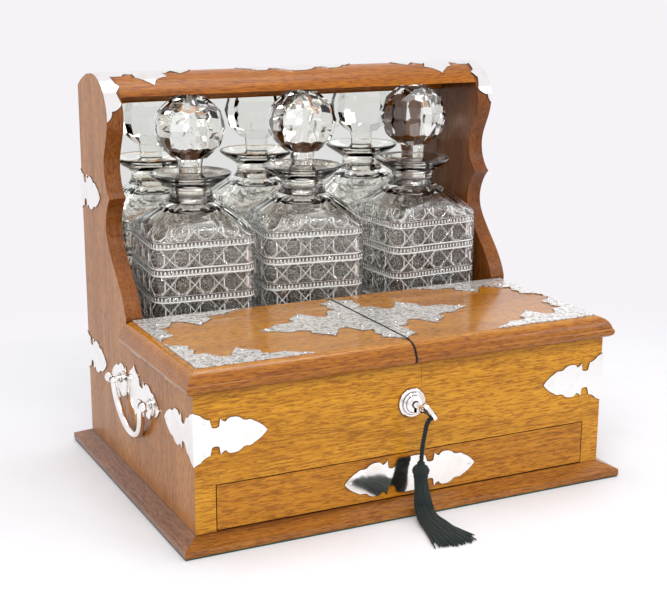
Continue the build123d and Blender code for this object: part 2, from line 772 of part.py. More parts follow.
def make_escutcheon():
    """Stepped round boss of the lock with its barrel through the front board."""
    steps = ((0, lock_plate_radius), (lock_plate_rise - 0.8, lock_plate_radius),
             (lock_plate_rise, lock_plate_radius - 0.9), (lock_plate_rise, lock_step_radius),
             (lock_step_rise - 0.5, lock_step_radius),
             (lock_step_rise, lock_step_radius - 0.6), (lock_step_rise, lock_face_radius),
             (lock_face_rise - 0.6, lock_face_radius), (lock_face_rise, lock_face_radius - 0.7),
             (lock_face_rise, 0))
    with BuildPart() as boss:
        with BuildSketch(Plane.XY.offset(lock_z)):
            with BuildLine():
                Polyline((0, front_y + board), (lock_barrel_radius, front_y + board),
                         (lock_barrel_radius, front_y), *[(r, front_y - rise) for rise, r in steps],
                         close=True)
            make_face()
        revolve(axis=Axis((0, 0, lock_z), (0, 1, 0)))
        add(keyhole(front_y - 10, front_y + board + 1), mode=Mode.SUBTRACT)
    finish(boss.part, "lock_escutcheon")


def lock_space():
    """Span of the lock's case on each axis."""
    y0 = front_y + board + touch / 3
    half = lock_case_width / 2
    return (-half, half), (y0, y0 + lock_case_depth), (lock_z - lock_case_drop, lock_z + lock_case_rise)


def make_lock_case():
    """Steel box behind the front board, open to the keyhole and to the two link eyes."""
    x, y, z = lock_space()
    inner = [(low + lock_wall, high - lock_wall) for low, high in (x, y, z)]
    slot_y = (y[0] + lock_wall, y[1] - lock_wall)
    with BuildPart() as case:
        add(board_between(x, y, z))
        add(board_between(*inner), mode=Mode.SUBTRACT)
        add(keyhole(y[0] - 1, y[0] + lock_wall + 1, 0.2), mode=Mode.SUBTRACT)
        for sense in (-1, 1):
            outer = sense * (eye_offset + eye_thickness / 2 + 0.8)
            near = sense * (eye_offset - eye_thickness / 2 - 2.0)
            add(board_between((min(outer, near), max(outer, near)), slot_y, (z[1] - lock_wall - 1, z[1] + 1)),
                mode=Mode.SUBTRACT)
    finish(case.part, "lock_case")


def make_bolt():
    """Sliding comb: a bar with two horns that enter the link eyes when the key turns."""
    x, y, z = lock_space()
    y_mid = front_y + board + touch + lock_wall + 0.5 + eye_depth / 2
    depth = (y_mid - bolt_size[0] / 2, y_mid + bolt_size[0] / 2)
    window_low = lid_bottom - eye_drop + 1.9
    horn = (window_low + (eye_window[1] - bolt_size[1]) / 2, window_low + (eye_window[1] + bolt_size[1]) / 2)
    bar_top = window_low - 3.4
    guided = (y[0] + lock_wall + touch, y[1] - lock_wall - touch)
    with BuildPart() as bolt:
        add(board_between((-12, 22), guided, (bar_top - 3.0, bar_top)))
        for place in (eye_offset * -1 + eye_thickness / 2 + 2.6, eye_offset + eye_thickness / 2 + 2.6):
            hook = (place + bolt_reach, place + bolt_reach + 3.0)
            add(board_between(hook, depth, (bar_top - 0.5, horn[1])))
            add(board_between((place, place + bolt_reach + 1), depth, horn))
    finish(bolt.part, "lock_bolt")


def make_key():
    """Bow, shank and bit. The bow and the bit stand in one plane, turned from the keyhole's slot."""
    bow_y = front_y - key_reach
    tip_y = front_y + board + 10.0
    bit_y = front_y + board + 3.4
    with BuildPart() as key:
        with BuildSketch(Plane.XZ.offset(-tip_y)):
            Circle(key_shank_radius)
        extrude(amount=tip_y - (bow_y + bow_half_length - bow_wire))
        with BuildSketch(Plane.XZ.offset(-(bow_y + bow_half_length + 3.4))):
            Circle(key_shank_radius + 1.2)
        extrude(amount=2.0)
        with BuildSketch(Plane.YZ.offset(-bow_wire)):
            with Locations((bow_y, 0)):
                Ellipse(bow_half_length, bow_half_width)
                Ellipse(bow_half_length - 2.4, bow_half_width - 2.8, mode=Mode.SUBTRACT)
        extrude(amount=2 * bow_wire)
        with BuildSketch(Plane.YZ.offset(-0.9)):
            with Locations((bit_y + bit_width / 2, -bit_length / 2)):
                Rectangle(bit_width, bit_length)
            with Locations((bit_y + bit_width * 0.42, -bit_length)):
                Rectangle(1.0, 3.0, mode=Mode.SUBTRACT)
        extrude(amount=1.8)
    turned = key.part.moved(Location((0, 0, lock_z), (0, 1, 0), -key_turned))
    finish(turned, "key")


# ---------------------------------------------------------------------------- lifting handles
def bail_plane():
    """Plane of the hanging bail: along the side, leaning in towards it."""
    lean = radians(bail_lean)
    pivot = (-half_width - bail_stand, handle_centre_y, base_top + handle_height)
    return Plane(origin=pivot, x_dir=(0, 1, 0), z_dir=(cos(lean), 0, sin(lean)))


def make_handle(side):
    """Strap plate, two eyed posts, and the bail whose pins end in balls outside the posts."""
    pivot_height = base_top + handle_height
    plane = face_plane((-half_width, handle_centre_y, pivot_height), (0, 1, 0), (-1, 0, 0))
    root = ((0, 22.0, 0), (4.6, 17.4, 0), (8.4, 15.2, 0.6), (12.2, 13.0, 0.5), (13.4, 8.0, 0))
    with BuildPart() as plate:
        add(leaf_plate(plane, root, 61.0))
        mirror(about=Plane.XZ.offset(-handle_centre_y))
    posts = []
    for sense in (-1, 1):
        y = handle_centre_y + sense * post_at
        with BuildPart() as post:
            with BuildSketch(Plane.YZ.offset(-half_width - metal)):
                with Locations((y, pivot_height)):
                    Circle(post_radius + 1.4)
            extrude(amount=-1.4)
            with BuildSketch(Plane.YZ.offset(-half_width - metal)):
                with Locations((y, pivot_height)):
                    Circle(post_radius)
            extrude(amount=-(bail_stand - metal))
            with Locations((-half_width - bail_stand, y, pivot_height)):
                Cylinder(eye_radius, 4.4, rotation=(90, 0, 0))
                Cylinder(bail_pin_radius + bail_pin_clearance, 9, rotation=(90, 0, 0), mode=Mode.SUBTRACT)
        posts.append(post.part)
    straight = bail_drop - bail_half_span
    hang = bail_plane()
    turn = Axis(hang.from_local_coords((0, -straight, 0)), hang.z_dir)
    with BuildPart() as bail:
        for sense in (-1, 1):
            top = hang.from_local_coords((sense * bail_half_span, 0, 0))
            with BuildSketch(Plane(origin=top, x_dir=hang.x_dir, z_dir=-hang.y_dir)):
                Circle(bail_radius)
            extrude(amount=straight)
        low = hang.from_local_coords((bail_half_span, -straight, 0))
        with BuildSketch(Plane(origin=low, x_dir=hang.x_dir, z_dir=-hang.y_dir)):
            Circle(bail_radius)
        revolve(axis=turn, revolution_arc=-180)
        for sense in (-1, 1):
            x, z = -half_width - bail_stand, pivot_height
            with Locations((x, handle_centre_y + sense * bail_half_span, z)):
                Sphere(bail_radius + 0.25)
            with Locations((x, handle_centre_y + sense * (bail_half_span + ball_at) / 2, z)):
                Cylinder(bail_pin_radius, ball_at - bail_half_span, rotation=(90, 0, 0))
            with Locations((x, handle_centre_y + sense * ball_at, z)):
                Sphere(ball_radius)
    for piece, name in ((plate.part, "handle_plate"), (joined(*posts), "handle_posts"), (bail.part, "bail")):
        finish(piece if side == "left" else mirrored(piece), f"{side}_{name}")


# ---------------------------------------------------------------------------- drawer
def make_drawer():
    bottom_z = base_top + drawer_lift
    front_inner = front_y + drawer_front_thickness
    back_end = front_y + drawer_length
    running = base_top + touch
    front = board_between((-drawer_half, drawer_half), (front_y, front_inner), (bottom_z, drawer_top))
    finish(front, "drawer_front")
    wall_top = running + drawer_wall_height
    across = (-drawer_half, -drawer_half + drawer_wall)
    left = board_between(across, (front_inner, back_end), (running, wall_top))
    finish(left, "drawer_left_wall")
    finish(mirrored(left), "drawer_right_wall")
    inner = drawer_half - drawer_wall
    floor = (running + 2.0, running + 2.0 + drawer_bottom_thickness)
    finish(board_between((-inner, inner), (front_inner, back_end), floor), "drawer_bottom")
    rear = board_between((-inner, inner), (back_end - drawer_wall, back_end), (floor[1], wall_top))
    finish(rear, "drawer_back")
    finish(drawer_plate(), "drawer_plate")
    width, depth, height = catch_block
    x, y = lock_pin_at
    slot = lock_pin_radius + catch_slot_clearance
    slot_low = opening_top - drawer_gap - lock_pin_travel - catch_slot_spare
    block = cut(board_between((x - width / 2, x + width / 2), (front_inner, front_inner + depth + 4),
                              (drawer_top - height, drawer_top)),
                board_between((x - width, x + width), (y - slot, y + slot), (slot_low, drawer_top + 1)))
    finish(block, "drawer_catch_block")


def pin_hole():
    with BuildPart() as hole:
        with Locations((lock_pin_at[0], lock_pin_at[1], dust_top)):
            Cylinder(lock_pin_radius + 0.15, 60)
    return hole.part


def make_lock_pin():
    """Brass pin that drops through the compartment's floor into the drawer, drawn up."""
    low = opening_top - drawer_gap + touch
    head = dust_top + lock_pin_travel
    with BuildPart() as pin:
        with BuildSketch(Plane.XY.offset(low)):
            with Locations(lock_pin_at):
                Circle(lock_pin_radius)
        extrude(amount=head - low + 0.5)
        with BuildSketch(Plane.XY.offset(head + touch)):
            with Locations(lock_pin_at):
                Circle(lock_pin_head)
        extrude(amount=2.4)
        chamfer(pin.edges().group_by(Axis.Z)[-1], 0.8)
    finish(pin.part, "drawer_lock_pin")


def make_ejector():
    """Bowed leaf spring on the back board that pushes the drawer out, drawn pressed home."""
    wall = back_board_y
    near = front_y + drawer_length + touch
    mid_z = base_top + drawer_wall_height / 2
    half = spring_width / 2
    with BuildPart() as spring:
        with BuildSketch(Plane.XY.offset(mid_z - 5)):
            with BuildLine():
                ThreePointArc((-half, wall), (0, near), (half, wall))
                Line((half, wall), (half - 2.0, wall))
                ThreePointArc((half - 2.0, wall), (0, near + spring_leaf), (-half + 2.0, wall))
                Line((-half + 2.0, wall), (-half, wall))
            make_face()
        extrude(amount=10)
    finish(spring.part, "ejector_spring")


# ---------------------------------------------------------------------------- decanters
def shoulder_prism(width, corner, low, top):
    """Square prism with rounded corners under a sloped shoulder that is turned about the axis."""
    with BuildPart() as body:
        with BuildSketch(Plane.XY.offset(low)):
            RectangleRounded(width, width, corner)
        extrude(amount=top - low)
        with BuildSketch(Plane.XZ):
            with BuildLine():
                outer = (shoulder_reach, top - (shoulder_reach - shoulder_radius) * shoulder_slope)
                Polyline((0, low), (shoulder_reach, low), outer, (shoulder_radius, top), (0, top), close=True)
            make_face()
        revolve(axis=Axis.Z, mode=Mode.INTERSECT)
    return body.part


def make_decanter(name):
    """Square cut-glass decanter: banded sides, sloped shoulder, short neck and flared lip; hollow."""
    x, turn = decanter_places[name]
    wall = 1.2 * decanter_wall
    with BuildPart() as glass:
        add(shoulder_prism(decanter_width, decanter_corner, 0, shoulder_rise))
        with BuildSketch(Plane.XZ):
            with BuildLine():
                Polyline((0, shoulder_rise - 1), (shoulder_radius, shoulder_rise - 1),
                         (shoulder_radius, shoulder_rise), (neck_radius + 2, shoulder_rise + 3),
                         (neck_radius, neck_rise), (neck_radius, neck_top), (neck_radius + 3, neck_top + 3.4),
                         (lip_radius - 0.5, lip_rise - lip_thickness),
                         (lip_radius, lip_rise - lip_thickness / 2), (lip_radius - 0.8, lip_rise),
                         (neck_radius + 3, mouth_rise + 1), (stopper_collar + 1, mouth_rise),
                         (0, mouth_rise), close=True)
            make_face()
        revolve(axis=Axis.Z)
        chamber = shoulder_prism(decanter_width - 2 * decanter_wall, decanter_corner - decanter_wall,
                                 decanter_base, shoulder_rise - wall)
        add(chamber, mode=Mode.SUBTRACT)
        with BuildSketch(Plane.XZ):
            with BuildLine():
                low = shoulder_rise - wall - 1
                Polyline((0, low), (neck_bore, low), (neck_bore + peg_taper, mouth_rise + 2),
                         (0, mouth_rise + 2), close=True)
            make_face()
        revolve(axis=Axis.Z, mode=Mode.SUBTRACT)
        # Cut bands round the sides.
        narrow = decanter_width - 2 * band_groove
        for row in range(band_rows):
            with BuildSketch(Plane.XY.offset(lowest_band + row * band_spacing - band_width / 2)):
                RectangleRounded(decanter_width + 2, decanter_width + 2, decanter_corner + 1)
                RectangleRounded(narrow, narrow, decanter_corner - band_groove, mode=Mode.SUBTRACT)
            extrude(amount=band_width, mode=Mode.SUBTRACT)
    placed = glass.part.moved(Location((x, decanter_y, well_floor), (0, 0, 1), turn))
    finish(placed, f"decanter_{name}")


def make_stopper(name):
    """Faceted ball on a collar and a ground peg."""
    x, turn = decanter_places[name]
    radius = ball_stopper_radius
    with BuildPart() as stopper:
        Box(2 * radius, 2 * radius, 2 * radius)
        # (latitude, facets round, turn of the row): the rows of plane cuts from the girdle to the poles
        for latitude, count, start in facet_rows:
            for sense in (-1, 1):
                for step in range(count):
                    along, up = radians(start + 360 * step / count), radians(sense * latitude)
                    facing = Vector(cos(up) * cos(along), cos(up) * sin(along), sin(up))
                    split(bisect_by=Plane(origin=facing * radius, z_dir=facing), keep=Keep.BOTTOM)
        grip = mouth_rise - stopper_ball_rise
        with BuildSketch(Plane.XZ):
            with BuildLine():
                top = neck_bore + peg_taper - peg_clearance
                foot_radius = top - peg_taper * peg_length / (lip_rise - neck_rise)
                Polyline((0, -radius * 0.8), (stopper_neck * 1.15, -radius * 0.8),
                         (stopper_neck, -radius - 3.0), (stopper_neck, grip + 5.0),
                         (stopper_collar, grip + 2.4), (stopper_collar, grip + touch), (top, grip + touch),
                         (foot_radius, grip - peg_length), (0, grip - peg_length), close=True)
            make_face()
        revolve(axis=Axis.Z)
    placed = stopper.part.moved(Location((x, decanter_y, well_floor + stopper_ball_rise), (0, 0, 1), turn))
    finish(placed, f"stopper_{name}")


# ---------------------------------------------------------------------------- cord and tassel
def make_tassel():
    """Cord on the key's bow, its turned head, and a skirt that bends out over the surface below."""
    with BuildPart() as cord:
        runs = [hypot(*(b - a for a, b in zip(p, q))) for p, q in zip(cord_route, cord_route[1:])]
        radii = []
        for place in range(1, len(cord_route) - 1):
            before = Vector(*cord_route[place]) - Vector(*cord_route[place - 1])
            after = Vector(*cord_route[place + 1]) - Vector(*cord_route[place])
            half_turn = radians(before.get_angle(after)) / 2
            radii.append(0.45 * min(runs[place - 1], runs[place]) / (sin(half_turn) / cos(half_turn)))
        with BuildLine() as path:
            FilletPolyline(*cord_route, radius=radii)
        with BuildSketch(Plane(origin=path.line @ 0, z_dir=path.line % 0)):
            Circle(cord_diameter / 2)
        sweep()
    finish(cord.part, "key_cord")

    head_low = tassel_top - tassel_head_height
    x, y = tassel_at
    r = tassel_head_radius
    bore = cord_diameter / 2 + touch
    h = tassel_head_height
    with BuildPart() as head:
        with BuildSketch(Plane.XZ):
            with BuildLine():
                socket = cord_route[-1][2] - tassel_top
                Polyline((bore, 0), (3.0, -0.6), (3.4, -1.4), (2.8, -2.8), (0.72 * r, -0.3 * h),
                         (r, -0.5 * h), (r, -0.68 * h), (0.9 * r, -0.84 * h), (0.82 * r, -h), (0, -h),
                         (0, socket), (bore, socket), close=True)
            make_face()
        revolve(axis=Axis.Z)
    finish(head.part.moved(Location((x, y, tassel_top))), "tassel_head")

    # The skirt: sections from under the head, past the plinth's nose, out over the floor.
    sections = (((x, y, head_low), (0, 0, 1), 5.6, 5.6),
                ((x + 0.2, y - 3.0, head_low - 14), (0, 0.22, 1), 9.0, 7.0),
                ((x + 0.4, y - 9.5, 8.4), (0, 0.9, 1), 12.0, 5.0),
                ((x + 0.6, y - 30.0, 4.0), (0, 1, 0.16), 18.0, 3.4),
                ((x + 0.8, y - 65.0, 2.7), (0, 1, 0.0), 22.0, 2.2))
    with BuildPart() as skirt:
        for origin, normal, half_x, half_n in sections:
            with BuildSketch(Plane(origin=origin, x_dir=(1, 0, 0), z_dir=normal)):
                Ellipse(half_x, half_n)
        loft(ruled=True)
    finish(skirt.part, "tassel_skirt")


# ---------------------------------------------------------------------------- the whole
def main():
    os.makedirs("parts", exist_ok=True)
    make_plinth()
    make_sides()
    make_roof()
    make_roof_mounts()
    make_front_board()
    make_case_boards()
    make_corner_mounts()
    make_back_mounts()
    for side in ("left", "right"):
        make_lid(side)
        make_lid_mounts(side)
        make_lid_link(side)
        make_hinges(side)
        make_handle(side)
    make_escutcheon()
    make_lock_case()
    make_bolt()
    make_key()
    make_drawer()
    make_lock_pin()
    make_ejector()
    for name in decanter_places:
        make_decanter(name)
        make_stopper(name)
    make_tassel()


main()
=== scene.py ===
import bpy
import random
from math import cos, exp, log, pi, radians, sin, sqrt
from mathutils import Matrix, Vector


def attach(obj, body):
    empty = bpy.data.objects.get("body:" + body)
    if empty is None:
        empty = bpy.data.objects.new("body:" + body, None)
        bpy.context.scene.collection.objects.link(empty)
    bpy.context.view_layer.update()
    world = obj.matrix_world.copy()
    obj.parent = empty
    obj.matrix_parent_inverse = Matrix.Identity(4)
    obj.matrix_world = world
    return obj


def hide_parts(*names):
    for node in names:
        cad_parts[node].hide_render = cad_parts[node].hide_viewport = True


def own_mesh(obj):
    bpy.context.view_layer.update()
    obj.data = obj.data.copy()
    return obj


# An antique oak tantalus: three cut-glass decanters behind two side-hinged lids, with plated straps.
# Sizes of pieces are in millimetres and are turned into metres by MM. Sizes in materials, lights and the
# stage are in metres.
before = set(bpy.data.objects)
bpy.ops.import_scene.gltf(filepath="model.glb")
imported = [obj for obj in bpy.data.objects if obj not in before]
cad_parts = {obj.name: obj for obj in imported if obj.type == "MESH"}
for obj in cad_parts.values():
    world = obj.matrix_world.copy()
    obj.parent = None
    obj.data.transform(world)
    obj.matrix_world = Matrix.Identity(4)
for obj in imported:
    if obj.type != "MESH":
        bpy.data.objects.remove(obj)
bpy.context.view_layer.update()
MM = 0.001

# ------------------------------------------------------------------------------------ camera
PHOTO_WIDTH, PHOTO_HEIGHT = 667, 600
FOCAL_PX = 1390.0
PRINCIPAL_PX = (340.1, 318.5)
SENSOR_WIDTH = 36
CAMERA_AT = Vector((-524.5, -1057.0, 445.4)) * MM
AZIMUTH, ELEVATION, ROLL = radians(-26.5), radians(14.98), radians(0.285)


def make_camera():
    """The photograph's camera: its place, its turn, and the middle of its picture off the centre."""
    back = Vector((sin(AZIMUTH) * cos(ELEVATION), -cos(AZIMUTH) * cos(ELEVATION), sin(ELEVATION)))
    right = Vector((0, 0, 1)).cross(back).normalized()
    turn = Matrix((right, back.cross(right), back)).transposed() @ Matrix.Rotation(ROLL, 3, "Z")
    data = bpy.data.cameras.new("camera")
    data.sensor_fit = "HORIZONTAL"
    data.sensor_width = SENSOR_WIDTH
    data.lens = SENSOR_WIDTH * FOCAL_PX / PHOTO_WIDTH
    data.shift_x = (PHOTO_WIDTH / 2 - PRINCIPAL_PX[0]) / PHOTO_WIDTH
    data.shift_y = (PRINCIPAL_PX[1] - PHOTO_HEIGHT / 2) / PHOTO_WIDTH
    data.clip_start, data.clip_end = 0.05, 20
    camera = bpy.data.objects.new("camera", data)
    camera.matrix_world = Matrix.Translation(CAMERA_AT) @ turn.to_4x4()
    bpy.context.collection.objects.link(camera)
    bpy.context.scene.camera = camera


# ------------------------------------------------------------------------------------ node helpers
WHITE = (1.0, 1.0, 1.0)


def set_node(tree, node, **values):
    """Sets a node's properties and inputs by name, with _ for a space. An output socket is linked."""
    for key, value in values.items():
        if hasattr(node, key):
            setattr(node, key, value)
        elif isinstance(value, bpy.types.NodeSocket):
            tree.links.new(value, node.inputs[key.replace("_", " ")])
        else:
            node.inputs[key.replace("_", " ")].default_value = value
    return node


def add_node(tree, kind, **values):
    return set_node(tree, tree.nodes.new(kind), **values)


def new_material(name):
    """A material, its node tree and its shader."""
    material = bpy.data.materials.new(name)
    material.use_nodes = True
    return material, material.node_tree, material.node_tree.nodes["Principled BSDF"]


def calculated(tree, operation, *values):
    """The result of one sum. Each value is an output socket or a number."""
    node = add_node(tree, "ShaderNodeMath", operation=operation)
    for socket, value in zip(node.inputs, values):
        if isinstance(value, bpy.types.NodeSocket):
            tree.links.new(value, socket)
        else:
            socket.default_value = value
    return node.outputs[0]


def coordinate(tree, kind="Object"):
    """Where the shaded point is, or its normal, in the object's own frame."""
    return add_node(tree, "ShaderNodeTexCoord").outputs[kind]


def component(tree, vector, axis):
    return add_node(tree, "ShaderNodeSeparateXYZ", Vector=vector).outputs[axis.upper()]


def stretched(tree, scale=(1, 1, 1), turn=(0, 0, 0)):
    """Object coordinates scaled along each axis: what is drawn with them runs along the least scaled one."""
    mapping = add_node(tree, "ShaderNodeMapping", Vector=coordinate(tree), Scale=scale, Rotation=turn)
    return mapping.outputs["Vector"]


def noise(tree, place, **values):
    return add_node(tree, "ShaderNodeTexNoise", Vector=place, **values).outputs["Fac"]


def ramp(tree, value, *stops):
    """The colour that a value has between stops of (place, colour)."""
    node = add_node(tree, "ShaderNodeValToRGB", Fac=value)
    elements = node.color_ramp.elements
    while len(elements) < len(stops):
        elements.new(0.5)
    for element, (place, colour) in zip(elements, stops):
        element.position = place
        element.color = (*colour, 1)
    return node.outputs["Color"]


def roughness(tree, value, low, high, gloss, more):
    """Roughness that falls to the gloss as the value goes from low to high."""
    return ramp(tree, value, (low, (gloss + more,) * 3), (high, (gloss,) * 3))


def span(tree, value, low, high, **values):
    """A value's share of the way from low to high."""
    node = add_node(tree, "ShaderNodeMapRange", Value=value, From_Min=low, From_Max=high, **values)
    return node.outputs["Result"]


def multiplied(tree, colour, other, amount=1.0):
    """A colour darkened by another one."""
    mix = add_node(tree, "ShaderNodeMix", data_type="RGBA", blend_type="MULTIPLY", Factor=amount)
    return set_node(tree, mix, A=colour, B=other).outputs["Result"]


def bump(tree, height, strength, distance, **under):
    """A normal bent by a height. A normal from another bump can lie under it."""
    node = add_node(tree, "ShaderNodeBump", Height=height, Strength=strength, Distance=distance, **under)
    return node.outputs["Normal"]


def mix_shaders(tree, share, first, second, output):
    """Shows the first shader at share 0 and the second one at share 1."""
    mix = add_node(tree, "ShaderNodeMixShader", Fac=share)
    tree.links.new(first.outputs[0], mix.inputs[1])
    tree.links.new(second.outputs[0], mix.inputs[2])
    tree.links.new(mix.outputs["Shader"], output.inputs["Surface"])


# ------------------------------------------------------------------------------------ materials
BACKGROUND = (0.921, 0.896, 0.930, 1)
SILVER = (0.96, 0.95, 0.93)


def along_grain(axis, share):
    """A scale that draws things out along one axis."""
    return tuple(share if name == axis else 1 for name in "xyz")


def painted_edge_shade(tree, face):
    """Painted shade by the way a face turns: darker on a board's edges, and darker still on the side towards
    the object's middle.
    """
    side = calculated(tree, "SIGN", component(tree, coordinate(tree), face))
    outward = calculated(tree, "MULTIPLY", side, component(tree, coordinate(tree, "Normal"), face))
    # Painted shade: the edge colour for faces that turn neither out nor in, and the first stop, darkest, for
    # the inner side.
    edge = (0.52, 0.42, 0.34) if face == "x" else (0.78, 0.66, 0.50)
    return ramp(tree, span(tree, outward, -1, 1),
                (0.03, (0.52, 0.40, 0.28)), (0.15, edge), (0.85, edge), (0.98, WHITE))


def painted_seam_shadow(tree, colour):
    """A painted shadow line along the joint in the middle, between the two lids."""
    away = calculated(tree, "ABSOLUTE", component(tree, coordinate(tree), "x"))
    # Painted shadow: near black within 0.8 mm of the middle, gone by 1.5 mm.
    shade = ramp(tree, span(tree, away, 0.0008, 0.0015), (0.0, (0.06, 0.04, 0.03)), (1.0, WHITE))
    return multiplied(tree, colour, shade)


def grime_and_painted_shade(tree, colour, dirt_and_shade, unmarked_from):
    """Old wax and grime, and painted shade, where a strap, a seam or a moulding meets the surface."""
    # Grime and painted shade: the colour is darkened where ambient occlusion finds surfaces close by.
    corner = add_node(tree, "ShaderNodeAmbientOcclusion", samples=6, Distance=0.0022)
    return multiplied(tree, colour, ramp(tree, corner.outputs["AO"], (0.50, dirt_and_shade), (unmarked_from, WHITE)), 0.9)


def oak(name, light, dark, grain, gloss=0.28, coat=0.35, seed=0.0, face=None):
    """Polished oak, with growth rings, open pores and ray flecks that all run along one axis.

    A board that is seen from one side mostly is given that side's axis as its face, and z is for the lids.
    """
    material, tree, shader = new_material(name)
    offset = add_node(tree, "ShaderNodeVectorMath", operation="ADD")
    tree.links.new(stretched(tree, along_grain(grain, 0.04)), offset.inputs[0])
    offset.inputs[1].default_value = (seed, seed * 0.7, seed * 1.3)
    place = offset.outputs["Vector"]
    broad = noise(tree, place, Scale=22.0, Detail=4.0, Roughness=0.6, Distortion=0.8)
    rings = noise(tree, place, Scale=560.0, Detail=5.0, Roughness=0.62, Distortion=1.2)
    growth = calculated(tree, "MULTIPLY_ADD", rings, 0.55, calculated(tree, "MULTIPLY", broad, 0.45))
    middle = tuple((a + b) / 2 for a, b in zip(light, dark))
    colour = ramp(tree, growth, (0.39, dark), (0.475, middle), (0.56, light))

    # Open pores: short dark dashes.
    pores = noise(tree, stretched(tree, along_grain(grain, 0.13)), Scale=1000.0, Detail=2.0, Roughness=0.5)
    colour = multiplied(tree, colour, ramp(tree, pores, (0.40, (0.48, 0.35, 0.25)), (0.51, WHITE)), 0.7)

    # Ray flecks: paler patches along the grain.
    flecks = noise(tree, stretched(tree, along_grain(grain, 0.32)),
                   Scale=170.0, Detail=2.5, Roughness=0.5, Distortion=0.5)
    colour = multiplied(tree, colour, ramp(tree, flecks, (0.52, (0.88, 0.86, 0.84)), (0.66, WHITE)), 0.6)

    # Painted shade on the board's edges and on its inner side.
    if face:
        colour = multiplied(tree, colour, painted_edge_shade(tree, face))
    # On the lids, a painted shadow line along the middle joint.
    if face == "z":
        colour = painted_seam_shadow(tree, colour)
    # Grime and painted shade in corners and along joints.
    colour = grime_and_painted_shade(tree, colour, (0.22, 0.13, 0.08), 0.94)
    normal = bump(tree, rings, 0.08, 0.0004, Normal=bump(tree, pores, 0.16, 0.0003))
    set_node(tree, shader, Base_Color=colour, Roughness=roughness(tree, growth, 0.35, 0.62, gloss, 0.10),
             Normal=normal, Specular_IOR_Level=0.22, Coat_Weight=coat, Coat_Roughness=0.12)
    return material


def plated(name, gloss=0.05, metal=1.0, clouds=60.0, tarnish_and_reflection=(0.90, 0.86, 0.80), tarnish_and_reflection_at=0.1936,
           waves=35.0, wave_height=0.30, seam=False):
    """Polished silver plate with fine rub marks and a little warm tarnish; on the lid straps, a painted
    reflection.
    """
    material, tree, shader = new_material(name)
    place = stretched(tree)
    cloud = noise(tree, place, Scale=clouds, Detail=5.0, Roughness=0.6)
    # Tarnish clouds; on the lid straps they are small, dark and sharp: a painted reflection of the cut glass.
    tarnish_and_reflection_colour = tuple(c * k for c, k in zip(SILVER, tarnish_and_reflection))
    colour = ramp(tree, cloud, (tarnish_and_reflection_at, tarnish_and_reflection_colour), (0.50, SILVER))
    # Tarnish and painted shade where the strap meets the parts round it.
    colour = grime_and_painted_shade(tree, colour, (0.10, 0.075, 0.05), 0.80)
    # On the lid straps, a painted shadow line along the middle joint.
    if seam:
        colour = painted_seam_shadow(tree, colour)
    scratches = noise(tree, stretched(tree, (1, 0.15, 1), (0.3, 0.5, 0.7)), Scale=900.0, Detail=2.0)
    ripple = noise(tree, place, Scale=waves, Detail=1.0)
    normal = bump(tree, ripple, wave_height, 0.0009, Normal=bump(tree, scratches, 0.03, 0.0002))
    set_node(tree, shader, Base_Color=colour, Metallic=metal, Normal=normal,
             Roughness=roughness(tree, cloud, 0.3, 0.6, gloss, 0.08))
    return material


def brushed(name, tint):
    """Plain worked metal: brushed along X with darker specks."""
    material, tree, shader = new_material(name)
    lines = noise(tree, stretched(tree, (0.05, 1, 1)), Scale=1200.0, Detail=3.0)
    colour = ramp(tree, lines, (0.3, tuple(c * 0.72 for c in tint)), (0.6, tint))
    set_node(tree, shader, Base_Color=colour, Metallic=1.0, Roughness=0.35,
             Normal=bump(tree, lines, 0.1, 0.0002))
    return material


def mirror_glass(name):
    """Old looking-glass: bright, faintly green, with spots where the silver has gone."""
    material, tree, shader = new_material(name)
    spots = noise(tree, stretched(tree), Scale=95.0, Detail=6.0, Roughness=0.7)
    colour = ramp(tree, spots, (0.30, (0.42, 0.40, 0.34)), (0.36, (0.80, 0.83, 0.79)))
    set_node(tree, shader, Base_Color=colour, Metallic=1.0,
             Roughness=ramp(tree, spots, (0.28, (0.25,) * 3), (0.38, (0.015,) * 3)))
    return material


def crystal(name, gloss=0.0, clear=1.0):
    """Clear lead crystal, with faint striations from the cutting wheel; with clear below 1, partly diffuse
    near-white: a painted highlight.
    """
    material, tree, shader = new_material(name)
    haze = noise(tree, stretched(tree), Scale=240.0, Detail=3.0)
    colour = ramp(tree, haze, (0.3, (0.985, 0.975, 0.945)), (0.7, (1.0, 0.995, 0.975)))
    set_node(tree, shader, Base_Color=colour, Roughness=roughness(tree, haze, 0.35, 0.6, gloss, 0.02),
             Transmission_Weight=clear, IOR=1.54, Normal=bump(tree, haze, 0.05, 0.0003))
    return material


def felt(name, dark, light, scale):
    """Baize or silk: a soft pile with sheen."""
    material, tree, shader = new_material(name)
    pile = noise(tree, stretched(tree), Scale=scale, Detail=4.0, Roughness=0.7)
    set_node(tree, shader, Base_Color=ramp(tree, pile, (0.3, dark), (0.7, light)), Roughness=0.9,
             Sheen_Weight=0.08, Normal=bump(tree, pile, 0.5, 0.0005))
    return material


def floor_material():
    """Pale paper. It keeps the shadow round the object, and further out it has the background's white."""
    material, tree, shader = new_material("paper_floor")
    place = stretched(tree)
    fibres = noise(tree, place, Scale=30.0, Detail=6.0)
    colour = ramp(tree, fibres, (0.3, (0.762, 0.762, 0.785)), (0.7, (0.777, 0.777, 0.800)))
    set_node(tree, shader, Base_Color=colour, Roughness=0.6, Specular_IOR_Level=0.1)
    away = add_node(tree, "ShaderNodeVectorMath", operation="LENGTH")
    tree.links.new(place, away.inputs[0])
    share = span(tree, away.outputs["Value"], 0.32, 0.75, interpolation_type="SMOOTHSTEP")
    white = add_node(tree, "ShaderNodeEmission", Color=BACKGROUND)
    mix_shaders(tree, share, shader, white, tree.nodes["Material Output"])
    return material


